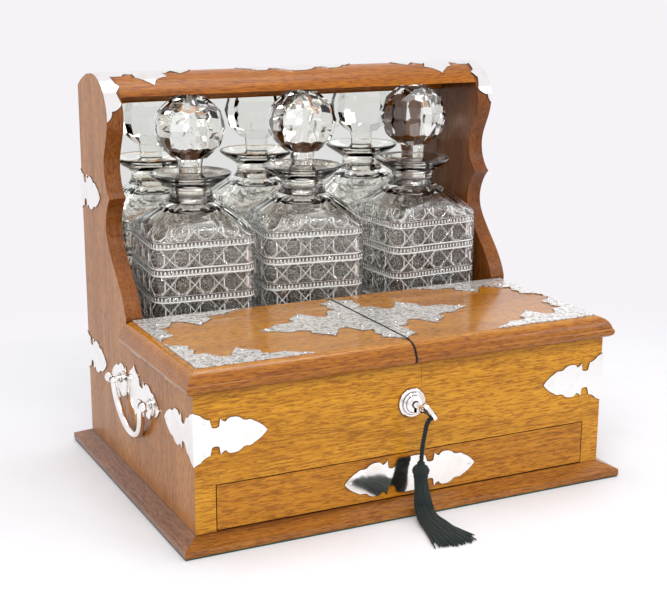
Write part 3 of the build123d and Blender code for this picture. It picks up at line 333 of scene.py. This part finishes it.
def make_materials():
    """Material by the name that DRESS and the pieces below ask for."""
    front = (0.68, 0.315, 0.020), (0.44, 0.170, 0.006)
    drawer = (0.58, 0.240, 0.014), (0.34, 0.115, 0.004)
    lid = (0.54, 0.225, 0.014), (0.34, 0.115, 0.005)
    side = (0.52, 0.215, 0.045), (0.30, 0.105, 0.018)
    roof = (0.40, 0.130, 0.004), (0.19, 0.048, 0.002)
    plinth_front = (0.43, 0.165, 0.022), (0.19, 0.060, 0.008)
    plinth_side = (0.30, 0.125, 0.045), (0.15, 0.055, 0.020)
    inner = (0.30, 0.12, 0.03), (0.16, 0.05, 0.012)
    # face z gives the lids painted shade on their edges and a painted shadow line at their middle joint.
    lid_finish = {"gloss": 0.17, "coat": 0.50, "face": "z"}
    raw = {"gloss": 0.5, "coat": 0.0}
    return {
        "front_oak": oak("oak_front", *front, "x", coat=0.15, seed=1.3),
        "drawer_oak": oak("oak_drawer", *drawer, "x", coat=0.15, seed=4.1),
        "lid_oak": oak("oak_lid", *lid, "x", seed=7.7, **lid_finish),
        "lid_oak_right": oak("oak_lid_right", *lid, "x", seed=12.2, **lid_finish),
        # face x gives the uprights painted shade on their front edges and inner sides.
        "side_oak": oak("oak_side", *side, "z", coat=0.15, seed=2.9, face="x"),
        "roof_oak": oak("oak_roof", *roof, "x", coat=0.15, seed=5.5),
        "plinth_x": oak("oak_plinth_x", *plinth_front, "x", seed=9.1),
        "plinth_y": oak("oak_plinth_y", *plinth_side, "y", seed=3.3),
        "inner_x": oak("oak_inner_x", *inner, "x", seed=6.0, **raw),
        "inner_y": oak("oak_inner_y", *inner, "y", seed=8.0, **raw),
        "plate": plated("silver_plate"),
        # On the lid straps the clouds are a painted reflection of the cut glass, mottled dark and bright.
        "lid_plate": plated("lid_silver_plate", gloss=0.10, metal=0.55, clouds=420.0, tarnish_and_reflection=(0.48, 0.45, 0.40),
                            tarnish_and_reflection_at=0.44, waves=330.0, wave_height=1.0, seam=True),
        "steel": brushed("lock_steel", (0.55, 0.55, 0.54)),
        "brass": brushed("hinge_brass", (0.72, 0.52, 0.24)),
        "mirror": mirror_glass("looking_glass"),
        "crystal": crystal("lead_crystal"),
        # Mostly diffuse near-white glass: a painted highlight for the flanks of the cutting.
        "cuts": crystal("crystal_painted_highlights", gloss=0.08, clear=0.25),
        "baize": felt("green_baize", (0.012, 0.045, 0.025), (0.03, 0.085, 0.05), 900.0),
        "silk": felt("green_silk", (0.002, 0.007, 0.006), (0.010, 0.022, 0.018), 1800.0),
    }


DRESS = {
    "front_oak": ("front_board",),
    "drawer_oak": ("drawer_front",),
    "lid_oak": ("left_lid",),
    "lid_oak_right": ("right_lid",),
    "side_oak": ("left_side", "right_side"),
    "roof_oak": ("roof_board", "mirror_rail"),
    "plinth_x": ("plinth_front", "plinth_back"),
    "plinth_y": ("plinth_left", "plinth_right"),
    "inner_x": ("base_board", "back_board", "dust_board", "partition", "well_floor", "drawer_bottom",
                "drawer_back", "drawer_catch_block"),
    "inner_y": ("compartment_divider", "well_fillets", "inner_strips", "drawer_left_wall",
                "drawer_right_wall"),
    "lid_plate": ("left_lid_mounts", "right_lid_mounts"),
    "plate": ("roof_mounts", "corner_mounts", "back_edge_mounts", "drawer_plate", "left_handle_plate",
              "right_handle_plate", "left_handle_posts", "right_handle_posts", "left_bail", "right_bail",
              "lock_escutcheon", "key"),
    "steel": ("lock_case", "lock_bolt", "ejector_spring", "left_lid_link", "right_lid_link"),
    "brass": ("left_case_hinges", "right_case_hinges", "left_lid_hinges", "right_lid_hinges",
              "drawer_lock_pin"),
    "mirror": ("mirror_plate",),
    "crystal": ("stopper_left", "stopper_middle", "stopper_right"),
    "baize": ("baize_pad",),
}


def dress_nodes(materials):
    """Puts materials on the CAD objects' slots. Their meshes stay as they are."""
    for material, nodes in DRESS.items():
        for node in nodes:
            for slot in bpy.data.objects[node].material_slots:
                slot.link = "OBJECT"
                slot.material = materials[material]


# ------------------------------------------------------------------------------------ mesh helpers
def mesh_object(name, vertices, faces, material, smooth=True):
    mesh = bpy.data.meshes.new(name)
    mesh.from_pydata(vertices, [], faces)
    mesh.validate()
    if smooth:
        mesh.polygons.foreach_set("use_smooth", [True] * len(mesh.polygons))
    mesh.materials.append(material)
    made = bpy.data.objects.new(name, mesh)
    bpy.context.collection.objects.link(made)
    return made


def band_faces(start, rows, around, downward=False):
    """Faces between neighbouring rings of vertices. They turn the other way where the rings go downward."""
    faces = []
    for row in range(rows):
        for k in range(around):
            a, b = start + row * around + k, start + row * around + (k + 1) % around
            faces.append((a, a + around, b + around, b) if downward else (a, b, b + around, a + around))
    return faces


def tube_faces(start, rows, around, downward=False):
    """The same, closed by a flat face at each end."""
    last = start + rows * around
    ends = [tuple(range(start, start + around)), tuple(range(last, last + around))]
    turned = 1 if downward else 0
    ends[turned] = ends[turned][::-1]
    return band_faces(start, rows, around, downward) + ends


# ------------------------------------------------------------------------------------ decanters
DECANTER_Y = 72.5
DECANTER_FLOOR = 87.0
# Each one's place across the case and its turn in degrees.
DECANTERS = {"left": (-107.1, -5.0), "middle": (-0.5, -8.0), "right": (113.2, 4.0)}
HALF_BODY, BODY_CORNER, BODY_WALL = 46.3, 13.0, 5.0
FOOT_RISE, FLOOR_RISE = 0.5, 8.2
FOOT_BEVEL_HEIGHT, FOOT_BEVEL_SLOPE = 2, 0.6
SHOULDER_RISE, SHOULDER_RADIUS, SHOULDER_SLOPE, SHOULDER_SOFTNESS = 141.6, 27.0, 0.667, 1.1
SHOULDER_FLUTES, FLUTE_DEPTH, FLUTES_FROM = 24, 0.55, 100
INNER_RISE = SHOULDER_RISE - 6.0
BAND_SPACING, LOWEST_BAND = 23.2, 21.6
# The cutting is drawn on a grid: cells between the bands, and steps within a cell.
CELLS_ROUND, CELL_STEPS = 16, 32
ROUND_STEPS = CELLS_ROUND * CELL_STEPS
STEP = 1 / CELL_STEPS
STAR_RADIUS_SQUARED = 0.052
# Radius and height of the turned part, from the shoulder's top over the lip and down the bore.
TURNED = ((26.2, 142.0), (23.6, 143.0), (21.4, 144.8), (19.7, 147.4), (18.8, 150.4), (18.6, 153.4),
          (19.3, 155.4), (21.6, 157.5), (25.4, 160.0), (29.8, 162.7), (33.4, 165.3), (35.0, 166.7),
          (35.5, 167.8), (35.2, 168.8), (34.4, 169.2), (33.0, 168.7), (28.8, 166.4), (24.0, 164.2),
          (20.0, 163.0), (14.0, 162.5), (12.0, 162.3), (11.4, 161.4), (11.1, 154.0), (10.8, 145.0),
          (10.7, 137.6), (11.4, 136.4))
# Height and inset of the chamber's rings, from its straight side to the rounded corner of its floor.
CHAMBER = ((60.0, 0.0), (11.0, 0.0), (8.9, 0.8), (FLOOR_RISE, 2.6))


def clamped(value):
    return min(1.0, max(0.0, value))


def square_radius(angle, half, corner):
    """Distance from the axis to a rounded square at that angle."""
    c, s = abs(cos(angle)), abs(sin(angle))
    if c < s:
        c, s = s, c
    if half * s / c <= half - corner:
        return half / c
    centre = half - corner
    along = centre * (c + s)
    return along + sqrt(max(along * along - 2 * centre * centre + corner * corner, 0))


def edge_angles():
    """Angles whose points lie at even steps along the body's outline, from the middle of a side."""
    fine = 6000
    reach = [square_radius(2 * pi * k / fine, HALF_BODY, BODY_CORNER) for k in range(fine + 1)]
    turned, travelled, angles, wanted = 2 * pi / fine, [0.0], [], 0
    for a, b in zip(reach, reach[1:]):
        travelled.append(travelled[-1] + sqrt(a * a + b * b - 2 * a * b * cos(turned)))
    for k in range(fine):
        while wanted < ROUND_STEPS and travelled[k + 1] >= travelled[-1] * wanted / ROUND_STEPS:
            share = (travelled[-1] * wanted / ROUND_STEPS - travelled[k]) / (travelled[k + 1] - travelled[k])
            angles.append((k + share) * turned)
            wanted += 1
    return angles


def wrapped(value, period=1.0):
    """Distance from the nearest multiple of the period."""
    return (value + period / 2) % period - period / 2


def groove(distance, half_width, depth):
    """Depth of a V-shaped cut at that distance from its bottom line."""
    return depth * max(0.0, 1 - abs(distance) / half_width)


def past_button(u, v):
    """How far a place lies outside the cell's eight-sided button, in cells. It is negative on the button."""
    return max(u - 9 * STEP, v - 9 * STEP, (u + v - 13 * STEP) * 0.75)


def star(u, v):
    """Eight fine rays from a button's middle."""
    if u * u + v * v > STAR_RADIUS_SQUARED:
        return 0.0
    nearest = min(abs(u), abs(v), abs(u - v) * 0.7, abs(u + v) * 0.7)
    return groove(nearest, 1.1 * STEP, 0.35)


def cutting_depth(across, up):
    """How deep the cutter went: bands of dog-tooth, and in each cell a button between crossed lines.

    Both values count cells, and a band runs along each whole number of the second.
    """
    from_band = abs(wrapped(up))
    if from_band < 5 * STEP:
        lines = groove(from_band - 3 * STEP, 2.0 * STEP, 1.35)
        teeth = groove(wrapped(across, 5 * STEP), 2.5 * STEP, 0.8) if from_band < 3 * STEP else 0.0
        return max(lines, teeth)
    u, v = abs(wrapped(across)), abs(wrapped(up + 0.5))
    outside = past_button(u, v)
    if outside <= 0:
        return star(wrapped(across), wrapped(up + 0.5))
    ground = clamped(outside / (1.6 * STEP)) * 1.1
    diagonal = groove(u + v - 0.5, 1.5 * STEP, 0.9)
    upright = groove(u - 0.5, 1.2 * STEP, 0.6)
    return ground - max(diagonal, upright)


def on_painted_highlight(across, up):
    """Whether the place lies on a narrow flank that gets the painted highlight: band lines, teeth, bevels,
    diagonals.
    """
    from_band = abs(wrapped(up))
    if from_band < 4.5 * STEP:
        tooth = abs(wrapped(across, 5 * STEP)) < 1.1 * STEP and from_band < 2.1 * STEP
        return tooth or from_band > 3 * STEP
    u, v = abs(wrapped(across)), abs(wrapped(up + 0.5))
    if 0 < past_button(u, v) < 1.5 * STEP:
        return wrapped(up + 0.5) < 5 * STEP
    return abs(u + v - 0.5) < 0.8 * STEP


def body_heights():
    """Heights of the cut side's rows, on the cutting's own grid, with the foot and the shoulder."""
    pitch = BAND_SPACING / CELL_STEPS
    heights = [0.0, 0.9]
    step = -int((LOWEST_BAND - 2.4) / pitch)
    while LOWEST_BAND + step * pitch < SHOULDER_RISE:
        heights.append(LOWEST_BAND + step * pitch)
        step += 1
    return heights + [SHOULDER_RISE]


def under_shoulder(square, height, top):
    """The square's radius, cut off by the shoulder's cone with a soft edge between them."""
    cone = SHOULDER_RADIUS + (top - height) / SHOULDER_SLOPE
    gap = cone - square
    if abs(gap) > 8 * SHOULDER_SOFTNESS:
        return min(cone, square)
    return min(cone, square) - SHOULDER_SOFTNESS * log(1 + exp(-abs(gap) / SHOULDER_SOFTNESS))


def body_ring(outline, height):
    """One ring of the outside: cut on the side, fluted on the shoulder and bevelled at the foot.

    The cutting fades out where the shoulder's cone cuts into the side, and over the lowest 2.5 mm.
    """
    ring = []
    for k, square in enumerate(outline):
        reach = under_shoulder(square, height, SHOULDER_RISE)
        on_side = clamped(1.0 - (square - reach - 0.5) / 2.0) * clamped((height - 1.0) / 1.5)
        if on_side:
            reach -= on_side * cutting_depth(k / CELL_STEPS, (height - LOWEST_BAND) / BAND_SPACING)
        if on_side < 1 and height > FLUTES_FROM:
            ridge = 1 - abs(sin(pi * SHOULDER_FLUTES * k / ROUND_STEPS))
            reach -= (1 - on_side) * FLUTE_DEPTH * ridge
        if height < FOOT_BEVEL_HEIGHT:
            reach -= (FOOT_BEVEL_HEIGHT - height) * FOOT_BEVEL_SLOPE
        ring.append((reach, height))
    return ring


def decanter_rings(angles):
    """Radius and height of every point, ring by ring: cut outside, turned neck and lip, smooth inside."""
    outline = [square_radius(angle, HALF_BODY, BODY_CORNER) for angle in angles]
    chamber = [square_radius(angle, HALF_BODY - BODY_WALL, BODY_CORNER - BODY_WALL) for angle in angles]
    rings = [body_ring(outline, height) for height in body_heights()]
    rings += [[(radius, height)] * ROUND_STEPS for radius, height in TURNED]
    for step in range(12):  # Closer together at the top, where the cone meets the chamber's walls.
        height = INNER_RISE - 0.4 - step * step * 0.22
        rings.append([(under_shoulder(square, height, INNER_RISE), height) for square in chamber])
    for height, inset in CHAMBER:
        rings.append([(square - inset, height) for square in chamber])
    return rings


def painted_highlight_faces(count):
    """Material index of every face: 1 on the cut side's flanks that get the painted highlight, 0 elsewhere.

    The foot's lowest rows and everything from the shoulder's lowest point up stay plain.
    """
    heights = body_heights()
    highest = SHOULDER_RISE - (HALF_BODY * 1.02 - SHOULDER_RADIUS) * SHOULDER_SLOPE
    marked = []
    for index in range(count):
        row, k = divmod(index, ROUND_STEPS)
        bright = False
        if 2 <= row < len(heights) - 2 and heights[row] < highest:
            up = ((heights[row] + heights[row + 1]) / 2 - LOWEST_BAND) / BAND_SPACING
            bright = on_painted_highlight((k + 0.5) / CELL_STEPS, up)
        marked.append(int(bright))
    return marked


def cut_decanter(name, materials):
    """One closed skin: the cut outside, over the lip, and down the smooth inside."""
    angles = edge_angles()
    rings = decanter_rings(angles)
    directions = [(cos(angle), sin(angle)) for angle in angles]
    vertices = [(reach * c * MM, reach * s * MM, height * MM)
                for ring in rings for (reach, height), (c, s) in zip(ring, directions)]
    n, rows = ROUND_STEPS, len(rings) - 1
    faces = band_faces(0, rows, n)
    foot, floor = len(vertices), len(vertices) + 1
    vertices += [(0, 0, FOOT_RISE * MM), (0, 0, FLOOR_RISE * MM)]
    for k in range(n):
        faces.append((foot, (k + 1) % n, k))
        faces.append((floor, rows * n + k, rows * n + (k + 1) % n))
    made = mesh_object(f"cut_decanter_{name}", vertices, faces, materials["crystal"], smooth=False)
    # The second material is the painted highlight.
    made.data.materials.append(materials["cuts"])
    x, turn = DECANTERS[name]
    made.data.transform(Matrix.Translation(Vector((x, DECANTER_Y, DECANTER_FLOOR)) * MM)
                        @ Matrix.Rotation(radians(turn), 4, "Z"))
    turned_from = n * (len(body_heights()) - 1)
    smooth = [turned_from <= index < n * rows for index in range(len(faces))]
    made.data.polygons.foreach_set("use_smooth", smooth)
    # Material 1, the painted highlight, goes on the chosen flanks of the cutting.
    made.data.polygons.foreach_set("material_index", painted_highlight_faces(len(faces)))
    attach(made, "case")
    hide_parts(f"decanter_{name}")


# ------------------------------------------------------------------------------------ cord and tassel
CORD_Y = -150.9
CORD_ROUTE = [(5.3, -162.6, 91.1), (-1.3, -162.6, 86.5), (-1.9, -159.6, 75.0), (0.3, CORD_Y, 56.5),
              (0.3, CORD_Y, 35.0)]
CORD_DIAMETER = 4.0
# Each strand goes once round the cord in the length of its lay.
STRANDS, STRAND_SIDES, STRAND_LAY, STRAND_SHARE = 3, 8, 8.5, 0.52
HEAD_TOP = Vector((0.3, CORD_Y, 48.0)) * MM
HEAD_HEIGHT, HEAD_RADIUS, HEAD_SIDES = 14.4, 6.9, 48
# Ribs on what is wider than the neck between the knot and the head.
HEAD_RIBS, RIB_SHARE, HEAD_NECK = 12, 0.05, 3.4
# Radius and height of the head below its top, down to the binding that holds the threads.
HEAD_PROFILE = ((0.2, 0.0), (1.6, -0.1), (2.9, -0.8), (3.3, -1.6), (2.9, -2.4), (3.4, -3.0), (5.0, -4.2),
                (6.3, -6.0), (HEAD_RADIUS, -7.8), (6.6, -9.6), (5.9, -11.2), (5.1, -12.0), (5.7, -12.6),
                (5.9, -13.2), (5.6, -13.8), (5.3, -HEAD_HEIGHT), (0.2, -HEAD_HEIGHT))
THREADS, THREAD_SIDES, THREAD_STEPS = 230, 4, 14
THREAD_HALVES = (0.62, 0.3, 0.55)
THREADS_RADIUS, LOWEST_THREAD = 5.1, 0.65
# Turning by this share of a circle from thread to thread fills the binding evenly.
GOLDEN_SHARE = 0.618


def spline_points(route):
    """Points along a NURBS spline that has the route's points as its control points."""
    data = bpy.data.curves.new("route", "CURVE")
    data.dimensions = "3D"
    spline = data.splines.new("NURBS")
    spline.points.add(len(route) - 1)
    for point, place in zip(spline.points, route):
        point.co = (*(Vector(place) * MM), 1)
    spline.order_u = 3
    spline.use_endpoint_u = True
    data.resolution_u = 24
    scratch = bpy.data.objects.new("route", data)
    mesh = bpy.data.meshes.new_from_object(scratch)
    points = [v.co.copy() for v in mesh.vertices]
    bpy.data.objects.remove(scratch)
    bpy.data.meshes.remove(mesh)
    bpy.data.curves.remove(data)
    return points


def make_cord(material):
    """Twisted silk cord: three strands laid round the route's line."""
    line = spline_points(CORD_ROUTE)
    frames = []
    up = Vector((0, 1, 0))
    for i, point in enumerate(line):
        way = (line[min(i + 1, len(line) - 1)] - line[max(i - 1, 0)]).normalized()
        side = (up - way * up.dot(way)).normalized()
        frames.append((point, side, way.cross(side)))
        up = side
    radius = CORD_DIAMETER / 2 * MM
    strand_radius = radius * STRAND_SHARE
    vertices, faces = [], []
    for strand in range(STRANDS):
        faces += tube_faces(len(vertices), len(frames) - 1, STRAND_SIDES)
        travelled = 0.0
        for i, (point, side, other) in enumerate(frames):
            if i:
                travelled += (point - frames[i - 1][0]).length
            turn = 2 * pi * (strand / STRANDS + travelled / (STRAND_LAY * MM))
            centre = point + (side * cos(turn) + other * sin(turn)) * (radius - strand_radius)
            for k in range(STRAND_SIDES):
                a = 2 * pi * k / STRAND_SIDES
                vertices.append(tuple(centre + (side * cos(a) + other * sin(a)) * strand_radius))
    cord = mesh_object("twisted_cord", vertices, faces, material)
    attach(cord, "case")
    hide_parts("key_cord")
    return cord, line


def make_tassel_head(material):
    """Netted head of the tassel with its neck binding."""
    vertices = []
    for radius, height in HEAD_PROFILE:
        for k in range(HEAD_SIDES):
            a = 2 * pi * k / HEAD_SIDES
            rib = RIB_SHARE * cos(HEAD_RIBS * a + height * 0.9) if radius > HEAD_NECK else 0
            ribbed = radius * (1 + rib)
            vertices.append(tuple(HEAD_TOP + Vector((ribbed * cos(a), ribbed * sin(a), height)) * MM))
    faces = tube_faces(0, len(HEAD_PROFILE) - 1, HEAD_SIDES, downward=True)
    head = mesh_object("tassel_cap", vertices, faces, material)
    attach(head, "case")
    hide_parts("tassel_head")
    return head


def thread_route(thread, top):
    """Where one thread goes: down from the head, past the plinth's nose and out over the floor.

    Side is how far to the right it starts, from -1 to 1, and front how far to the front, from 0 to 1.
    """
    angle = 2 * pi * (thread * GOLDEN_SHARE)
    share = sqrt((thread + 0.5) / THREADS)
    start = top + Vector((cos(angle), sin(angle), 0)) * THREADS_RADIUS * MM * share
    side = share * cos(angle)
    front = 0.5 - 0.5 * share * sin(angle)
    end_x = side * random.uniform(13, 21) + random.uniform(-2, 2)
    end_y = CORD_Y - 50 - front * 12 - random.uniform(-6, 4)
    lift = 0.6 + 3.2 * (1 - share) + random.uniform(0, 1.6)
    return [start / MM,
            Vector((side * 6.4, -151.5 - front * 3.4, 25.0)),
            Vector((side * 8.0, -153.5 - front * 5.0, 14.0)),
            Vector((side * 9.0, -160.0 - front * 5.0, 4.0 + lift * 0.7)),
            Vector((side * 11.5, -176.0, 1.2 + lift)),
            Vector((end_x, end_y, 0.8 + lift * 0.35))]


def along_route(route, share):
    """The point at that share of the way along a smooth curve through the route's points."""
    t = share * (len(route) - 1)
    k = min(int(t), len(route) - 2)
    f = t - k
    p0, p1, p2, p3 = (route[max(0, min(len(route) - 1, k + d))] for d in (-1, 0, 1, 2))
    return 0.5 * (2 * p1 + (p2 - p0) * f + (2 * p0 - 5 * p1 + 4 * p2 - p3) * f * f
                  + (3 * p1 - 3 * p2 + p3 - p0) * f ** 3)


def make_tassel_skirt(material):
    """Threads that hang from the head, meet the plinth's nose and splay out over the floor."""
    random.seed(11)
    vertices, faces = [], []
    top = HEAD_TOP + Vector((0, 0, -HEAD_HEIGHT + 0.5)) * MM
    for thread in range(THREADS):
        route = thread_route(thread, top)
        faces += tube_faces(len(vertices), THREAD_STEPS, THREAD_SIDES)
        for i in range(THREAD_STEPS + 1):
            point = along_route(route, i / THREAD_STEPS)
            point.z = max(point.z, LOWEST_THREAD)
            for k in range(THREAD_SIDES):
                a = 2 * pi * k / THREAD_SIDES + thread
                x, y, z = THREAD_HALVES
                vertices.append(tuple((point + Vector((x * cos(a), y * sin(a), z * sin(a)))) * MM))
    skirt = mesh_object("tassel_threads", vertices, faces, material)
    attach(skirt, "case")
    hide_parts("tassel_skirt")
    return skirt


# ------------------------------------------------------------------------------------ small metalwork
HALF_WIDTH, FRONT_Y, BACK_Y = 186.0, -134.6, 134.6
LID_TOP = 143.0
METAL = 0.9
PIN_RADIUS, PIN_RISE, PIN_SIDES, PIN_RINGS = 1.25, 0.55, 14, 4
CORNER_STRAP_Z, BACK_STRAPS_Z = 89.5, (90.0, 238.0)
HANDLE_MIDDLE = (1.5, 89.0)
DRAWER_PINS_X, DRAWER_PINS_Z = 55.0, 32.3
# The pins' places on each strap, from its corner or middle.
LEAF_PINS = ((8.0, 12.5), (8.0, -12.5), (54.0, 0.0))
HANDLE_PINS = ((28.0, 10.0), (28.0, -10.0), (54.5, 0.0))
LID_PINS = ((6.5, 56.0), (14.0, 22.0), (49.0, 30.0), (90.0, 2.4))
# The corners and the middle of a lid's straps, and how far forward and back they go.
LID_OUTER, LID_INNER, LID_FRONT, LID_BACK, LID_MIDDLE = 180.7, 1.6, -129.3, 20.4, -55.5
LID_PINS_FRONT, LID_PINS_BACK = -129.0, 20.0
FRONT_JOINT_X, FRONT_JOINT_Z = 8.4, (105.0, 125.0)


def pin_heads(name, body, places, material):
    """Round-headed pins through the straps. Each place is (point on the metal's face, outward normal)."""
    vertices, faces = [], []
    for place, outward in places:
        turn = Vector(outward).to_track_quat("Z", "Y")
        base = len(vertices)
        for ring in range(PIN_RINGS):
            a = pi / 2 * ring / PIN_RINGS
            for k in range(PIN_SIDES):
                b = 2 * pi * k / PIN_SIDES
                local = Vector((PIN_RADIUS * cos(a) * cos(b), PIN_RADIUS * cos(a) * sin(b),
                                PIN_RISE * sin(a)))
                vertices.append(tuple((Vector(place) + turn @ local) * MM))
        vertices.append(tuple((Vector(place) + turn @ Vector((0, 0, PIN_RISE))) * MM))
        faces += band_faces(base, PIN_RINGS - 1, PIN_SIDES)
        last, tip = base + (PIN_RINGS - 1) * PIN_SIDES, base + PIN_RINGS * PIN_SIDES
        faces += [(last + k, last + (k + 1) % PIN_SIDES, tip) for k in range(PIN_SIDES)]
    heads = mesh_object(name, vertices, faces, material)
    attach(heads, body)


def leaf_pins(corner, along, outward, stretch):
    """The pins of one leaf of strapwork. The stretch moves the pin at the leaf's tip."""
    face = Vector(corner) + Vector(outward) * METAL
    return [(face + Vector(along) * (u + (stretch if u > 10 else 0)) + Vector((0, 0, 1)) * v, outward)
            for u, v in LEAF_PINS]


def make_pins(material):
    """The pins of every strap: on the case's corners and handle plates, on the drawer and on both lids."""
    places = []
    for sense in (-1, 1):
        front, back, side = (0, -1, 0), (0, 1, 0), (sense, 0, 0)
        inward = (-sense, 0, 0)
        corner = (sense * HALF_WIDTH, FRONT_Y, CORNER_STRAP_Z)
        places += leaf_pins(corner, inward, front, 0.0)
        places += leaf_pins(corner, back, side, 3.1)
        for z in BACK_STRAPS_Z:
            corner = (sense * HALF_WIDTH, BACK_Y, z)
            places += leaf_pins(corner, front, side, -4.0)
            places += leaf_pins(corner, inward, back, -4.0)
        for way in (-1, 1):
            for u, v in HANDLE_PINS:
                y, z = HANDLE_MIDDLE
                places.append(((sense * (HALF_WIDTH + METAL), y + way * u, z + v), side))
    pin_heads("case_strap_pins", "case", places, material)
    drawer = [((sense * DRAWER_PINS_X, FRONT_Y - METAL, DRAWER_PINS_Z), (0, -1, 0)) for sense in (-1, 1)]
    pin_heads("drawer_strap_pins", "drawer", drawer, material)
    for sense, body in ((-1, "left_lid"), (1, "right_lid")):
        spots = []
        for u, v in LID_PINS:
            outer, inner = sense * (LID_OUTER - u), sense * (LID_INNER + u)
            for x, y in ((outer, LID_FRONT + v), (outer, LID_BACK - v),
                         (inner, LID_MIDDLE + v), (inner, LID_MIDDLE - v)):
                if LID_PINS_FRONT < y < LID_PINS_BACK:
                    spots.append(((x, y, LID_TOP + METAL), (0, 0, 1)))
        pin_heads(f"{body}_strap_pins", body, spots, material)


def make_front_joint(material):
    """The fine joint where the front's wood is pieced over the lock: a thin strip let into the board."""
    vertices = [tuple(Vector((FRONT_JOINT_X + x, FRONT_Y + y, z)) * MM)
                for x in (-0.15, 0.15) for y in (-0.05, 0.45) for z in FRONT_JOINT_Z]
    faces = [(0, 1, 3, 2), (4, 6, 7, 5), (0, 4, 5, 1), (2, 3, 7, 6), (0, 2, 6, 4), (1, 5, 7, 3)]
    line = mesh_object("front_joint", vertices, faces, material, smooth=False)
    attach(line, "case")


# ------------------------------------------------------------------------------------ stage
FLOOR_REACH = 4.0
LIGHTS_AIM = Vector((0, 0, 0.15))


def area_light(name, place, size, power):
    """A soft white light that looks at the object's middle."""
    data = bpy.data.lights.new(name, "AREA")
    data.shape = "RECTANGLE"
    data.size, data.size_y = size
    data.energy = power
    light = bpy.data.objects.new(name, data)
    light.location = place
    light.rotation_mode = "QUATERNION"
    light.rotation_quaternion = (LIGHTS_AIM - Vector(place)).to_track_quat("-Z", "Y")
    bpy.context.collection.objects.link(light)


def studio_world():
    """Pale surroundings: one white for what is seen straight, in metal or through glass, and softer light."""
    world = bpy.data.worlds.new("studio")
    world.use_nodes = True
    tree = world.node_tree
    light = set_node(tree, tree.nodes["Background"], Color=(0.95, 0.945, 0.955, 1), Strength=0.72)
    seen = add_node(tree, "ShaderNodeBackground", Color=BACKGROUND)
    rays = add_node(tree, "ShaderNodeLightPath").outputs
    straight = calculated(tree, "MAXIMUM", rays["Is Camera Ray"], rays["Is Glossy Ray"])
    share = calculated(tree, "MAXIMUM", straight, rays["Is Transmission Ray"])
    mix_shaders(tree, share, light, seen, tree.nodes["World Output"])
    return world


def make_stage():
    """A pale floor, four soft lights and the settings of the view."""
    corners = [(-FLOOR_REACH, -FLOOR_REACH, 0), (FLOOR_REACH, -FLOOR_REACH, 0),
               (FLOOR_REACH, FLOOR_REACH, 0), (-FLOOR_REACH, FLOOR_REACH, 0)]
    floor = mesh_object("floor", corners, [(0, 1, 2, 3)], floor_material(), smooth=False)
    scene = bpy.context.scene
    scene.world = studio_world()
    area_light("key_light", (-1.3, -1.5, 1.7), (1.3, 1.3), 16)
    area_light("fill_light", (1.8, -1.2, 1.2), (1.2, 1.2), 9)
    area_light("top_light", (0.1, 0.3, 2.0), (1.4, 1.0), 14)
    area_light("strip_light", (-0.3, -1.1, 1.5), (1.1, 0.05), 9)
    scene.view_settings.view_transform = "Standard"
    scene.cycles.transmission_bounces = 20
    scene.cycles.max_bounces = 24


# ------------------------------------------------------------------------------------ the whole
make_camera()
materials = make_materials()
dress_nodes(materials)
cord, cord_line = make_cord(materials["silk"])
head = make_tassel_head(materials["silk"])
skirt = make_tassel_skirt(materials["silk"])
for piece in (cord, head, skirt):
    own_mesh(piece)
for side in DECANTERS:
    cut_decanter(side, materials)
make_pins(materials["plate"])
make_front_joint(materials["inner_x"])
make_stage()
